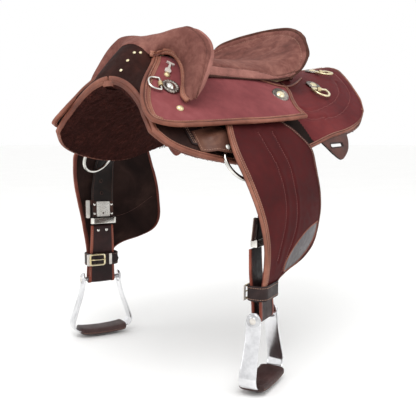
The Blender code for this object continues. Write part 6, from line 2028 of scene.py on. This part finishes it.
# ================================================================ rear tabs
tz = unit((1.0, -0.05, 0.38))
tx = (0.05, 1.0, 0.06)
tab_o = np.array([0.2125, 0.037, -0.0800])
tab_pts = [(-0.047, -0.011), (-0.042, -0.0165), (-0.033, -0.025), (-0.019, -0.039), (0.0, -0.0515), (0.017, -0.0455), (0.034, -0.0325),
           (0.043, -0.016), (0.045, -0.002), (0.046, 0.006)]
low_curve = spaced(catmull([(a, b, 0) for a, b in tab_pts], 8), 60)[:, :2]
tab_outline = [tuple(p) for p in low_curve]
slot_o = round_outline([(-0.0190, -0.0250), (-0.0190, -0.0185), (0.0190, -0.0185), (0.0190, -0.0250)], 0.0032, 5)

def put_tab():
    ob = flat_shape("left_rear_tab_leather", tab_outline, [slot_o], 0.0035, tab_o, tz, tx, ["tab", "edge", "tan"], "saddle", 0.0009,
                    slot="dark_leather", rep=["left_rear_tab"])
    me = ob.data
    for p in me.polygons:
        p.material_index = 0 if p.normal.dot(Vector(tz)) > 0.80 else (2 if p.normal.dot(Vector(tz)) < -0.80 else 1)
    return ob


put_tab()
tX = perp(tx, tz)
tY = np.cross(tz, tX)


def on_tab(pts2, h):
    pts2 = np.asarray(pts2, float)
    return tab_o + tX * pts2[:, :1] + tY * pts2[:, 1:2] + tz * h


inset = low_curve[4:-4] + unit(np.array([0, -0.018]) - low_curve[4:-4]) * 0.0045
P = by_step(on_tab(inset, 0.0036), 0.002)
stitches("left_rear_tab_stitch", [(P, np.broadcast_to(tz, P.shape))], "thread_brown")
P = by_step(on_tab(inset, -0.0001), 0.002)
stitches("left_rear_tab_inner_stitch", [(P, np.broadcast_to(-tz, P.shape))], "thread_brown")
so = np.array(round_outline([(-0.0208, -0.0268), (-0.0208, -0.0168), (0.0208, -0.0168), (0.0208, -0.0268)], 0.0040, 7))
so = spaced(np.vstack([so, so[:1]]), 73)[:-1]
tube("left_rear_tab_slot_rim", on_tab(so, 0.0036), 0.0008, tz, "edge", "saddle", True, 8)

# ================================================================ fittings
def concho(name, c, n, r, h, mats, lobes=16, **kw):
    base = np.asarray(c) + n * 0.0010
    prof = [(0, h), (r * 0.22, h * 0.98), (r * 0.38, h * 0.84), (r * 0.47, h * 0.52), (r * 0.54, h * 0.40), (r * 0.62, h * 0.52),
            (r * 0.78, h * 0.62), (r * 0.90, h * 0.52), (r * 0.97, h * 0.28), (r * 0.97, 0), (0, -0.0006)]
    return turned(name, prof, base, n, mats, steps=96, lobes=lobes, depth=0.055, from_r=r * 0.7,
                  face_mat=lambda i: 1 if i < 3 else 0, **kw)


def petals(name, c, n, r, h, mat, count=16):
    """Raised flutes round a concho's rim."""
    base = np.asarray(c) + n * (0.0010 + h * 0.50)
    x = perp(np.array([0.3, 1.0, 0.1]), n)
    y = np.cross(n, x)
    V, F = [], []
    for k in range(count):
        a = 2 * pi * k / count
        d = x * math.cos(a) + y * math.sin(a)
        s = np.cross(n, d)
        b0 = len(V)
        for u, wd, hh in ((0.60, 0.030, 0.0), (0.68, 0.050, 0.0008), (0.78, 0.068, 0.0012), (0.88, 0.072, 0.0010), (0.96, 0.050, 0.0)):
            for q in (-1, -0.5, 0, 0.5, 1):
                V.append(base + d * (r * u) + s * (r * wd * q * 1.9) + n * (hh * (1 - q * q) - 0.0002))
        for i in range(4):
            for j in range(4):
                p = b0 + i * 5 + j
                F.append((p, p + 5, p + 6, p + 1))
    n_top = len(V)
    V += [v - n * 0.0008 for v in V[:n_top]]
    bot = [tuple(q + n_top for q in f[::-1]) for f in F]
    side = []
    for k in range(count):
        b0 = k * 25
        loop = [0, 1, 2, 3, 4, 9, 14, 19, 24, 23, 22, 21, 20, 15, 10, 5]
        for i in range(16):
            a, b = b0 + loop[i], b0 + loop[(i + 1) % 16]
            side.append((a, b, b + n_top, a + n_top))
    return make(name, np.array(V), F + bot + side, mat)


def dee_path(hinge, lat, out, width, reach, square=1.0):
    hw = width / 2
    pts = [hinge - lat * hw * 0.98, hinge - lat * hw * 0.5, hinge + lat * hw * 0.5, hinge + lat * hw * 0.98]
    for k in range(1, 16):
        a = pi * k / 16
        c, s = math.cos(a), math.sin(a)
        c = math.copysign(abs(c) ** square, c)
        s = abs(s) ** square
        pts.append(hinge + lat * (hw * c) + out * (reach * 0.18 + reach * 0.82 * s))
    P = np.array(pts)
    P = np.vstack([P, P[:1]])
    P = spaced(P, 121)[:-1]
    for _ in range(3):
        P = (np.roll(P, 1, 0) + 2 * P + np.roll(P, -1, 0)) / 4
    return P


def hung(name, body, rep, c, n, away, offset, width, reach, wire_r, mat, square=1.0, tab="tan", tab_w=0.012):
    out = perp(away, n)
    hinge = np.asarray(c) + out * offset + n * (wire_r + 0.0016)
    lat = np.cross(n, out)
    tube(name, dee_path(hinge, lat, out, width, reach, square), wire_r, n, mat, body, True, 14, slot="nickel_wire", rep=rep)
    saddle_loop(name + "_tab", hinge, out, n, lat, tab_w, wire_r, offset - 0.006, tab, 0.0012, wire_r + 0.0012)
    return hinge


cp, cn, _, _ = jockey_point(0.150, 0.467)
concho("left_front_concho_scalloped", cp, cn, 0.0160, 0.0055, ["antique", "nickel"], slot="antique_concho", rep=["left_front_concho"])
petals("left_front_concho_flutes", cp, cn, 0.0160, 0.0055, "antique")
hung("left_front_dee_wire", "left_front_dee_body", ["left_front_dee"], cp, cn, jockey_point(0.062, 0.467)[0] - cp, 0.0190, 0.029, 0.021,
     0.0019, "nickel", 0.75, "brass", 0.010)
hp_, hn_, _, hv_ = jockey_point(0.107, 0.165)
hook = [(-0.0160, -0.0050), (-0.0090, -0.0060), (-0.0040, -0.0022), (0.0120, -0.0018), (0.0120, -0.0075), (0.0160, -0.0075),
        (0.0160, 0.0075), (0.0120, 0.0075), (0.0120, 0.0018), (-0.0040, 0.0022), (-0.0090, 0.0060), (-0.0160, 0.0050)]
# T-hook in the pale, partly diffuse nickel: painted reflection
flat_shape("left_t_hook_nickel", round_outline(hook, 0.0014, 4), [], 0.0030, hp_ + hn_ * 0.0010, hn_, -hv_, "bright", "saddle", 0.0007,
           slot="nickel_wire", rep=["left_t_hook"])
h = hit(jockey_tree, 167, 75)
if h is not None:
    dome("left_hook_screw", h[0], h[1], 0.0060, 0.0042, "brass", steps=28, slot="brass_hardware")
h = hit(jockey_tree, 180, 108.5)
if h is not None:
    dome("left_jockey_screw", h[0], h[1], 0.0068, 0.0046, "brass", steps=28, slot="brass_hardware")
sp, sn, _, _ = jockey_point(0.887, 0.467)
sn = unit(sn * 0.8 + BACK * 0.35)
concho("left_seat_concho_scalloped", sp, sn, 0.0170, 0.0060, ["antique", "brass_light"], 18, slot="antique_concho",
       rep=["left_seat_concho"])
petals("left_seat_concho_flutes", sp, sn, 0.0170, 0.0060, "antique", 18)
for tag, x, y, away in (("inner", 0.0417, 0.2125, (1.0, 0.0, 0.0)), ("outer", 0.1120, 0.1140, (1.0, -0.30, 0.0))):
    n = skin_normal(x, y).reshape(3)
    c = lift(x, y, 0.0).reshape(3)
    concho("left_rear_concho_%s_scalloped" % tag, c, n, 0.0165, 0.0055, ["antique", "brass_light"], 18, slot="antique_concho",
           rep=["left_rear_concho_" + tag])
    petals("left_rear_concho_%s_flutes" % tag, c, n, 0.0165, 0.0055, "antique", 18)
    hung("left_rear_dee_%s_wire" % tag, "left_rear_dee_%s_body" % tag, ["left_rear_dee_" + tag], c, n, np.array(away), 0.0215, 0.038,
         0.030, 0.0025, "brass_light", 1.0, "brass", 0.009)

mirror_all()

# ---------------------------------------------------------------- frame pieces that stay as they are
for name, mat in (("tree_bar", "wood"), ("stirrup_bar", "steel"), ("hanger", "strap"), ("stirrup_bolt", "steel")):
    for side in ("left_", "right_"):
        ob = bpy.data.objects[side + name]
        ob.data.materials.clear()
        ob.data.materials.append(M[mat])
ob = bpy.data.objects["tree_fork"]
ob.data.materials.clear()
ob.data.materials.append(M["wood"])

# ================================================================ floor, light, camera
fl = Mat("pale_floor", rough=0.85, spec=0.2)
fl.colour(fl.ramp(fl.noise(3.0, 3, 0.5), [(0.3, "#FBFBFA"), (0.7, "#FDFDFC")]))
fl.bump(fl.noise(40, 3, 0.5), 0.0003, 0.2)
me = bpy.data.meshes.new("floor")
z0 = CAD_BOX[0][2] - 0.004
xs_, ys_ = np.linspace(-40, 40, 9), np.linspace(-40, 40, 9)
fv = [(x, y, z0) for x in xs_ for y in ys_]
ff = [(i * 9 + j, (i + 1) * 9 + j, (i + 1) * 9 + j + 1, i * 9 + j + 1) for i in range(8) for j in range(8)]
me.from_pydata(fv, [], ff)
me.materials.append(fl.m)
floor = bpy.data.objects.new("floor", me)
SCENE.collection.objects.link(floor)

w = bpy.data.worlds.new("studio")
SCENE.world = w
w.use_nodes = True
w.node_tree.nodes["Background"].inputs["Color"].default_value = (1.0, 1.0, 1.0, 1)
w.node_tree.nodes["Background"].inputs["Strength"].default_value = 1.0


def area(name, at, look, size, power, size_y=None):
    li = bpy.data.lights.new(name, "AREA")
    li.energy = power
    li.size = size
    if size_y:
        li.shape = "RECTANGLE"
        li.size_y = size_y
    ob = bpy.data.objects.new(name, li)
    ob.location = at
    d = Vector(look) - Vector(at)
    ob.rotation_euler = d.to_track_quat("-Z", "Y").to_euler()
    SCENE.collection.objects.link(ob)


area("key", (0.9, -1.3, 1.9), (0.05, -0.05, 0.0), 1.4, 26)
area("side", (2.1, 0.1, 0.8), (0.1, 0, -0.1), 1.2, 6)
area("left", (-1.2, -1.9, 0.5), (0, -0.1, 0), 1.2, 6)

cam = bpy.data.cameras.new("camera")
cam.lens = LENS
cam.sensor_width = 36.0
cam_ob = bpy.data.objects.new("camera", cam)
SCENE.collection.objects.link(cam_ob)
m4 = Matrix.Identity(4)
for r_ in range(3):
    m4[r_][0], m4[r_][1], m4[r_][2] = RIGHT[r_], UPV[r_], BACK[r_]
m4.translation = Vector((CAM[0], CAM[1], CAM[2] - DATUM))
cam_ob.matrix_world = m4
SCENE.camera = cam_ob
SCENE.view_settings.view_transform = "Standard"
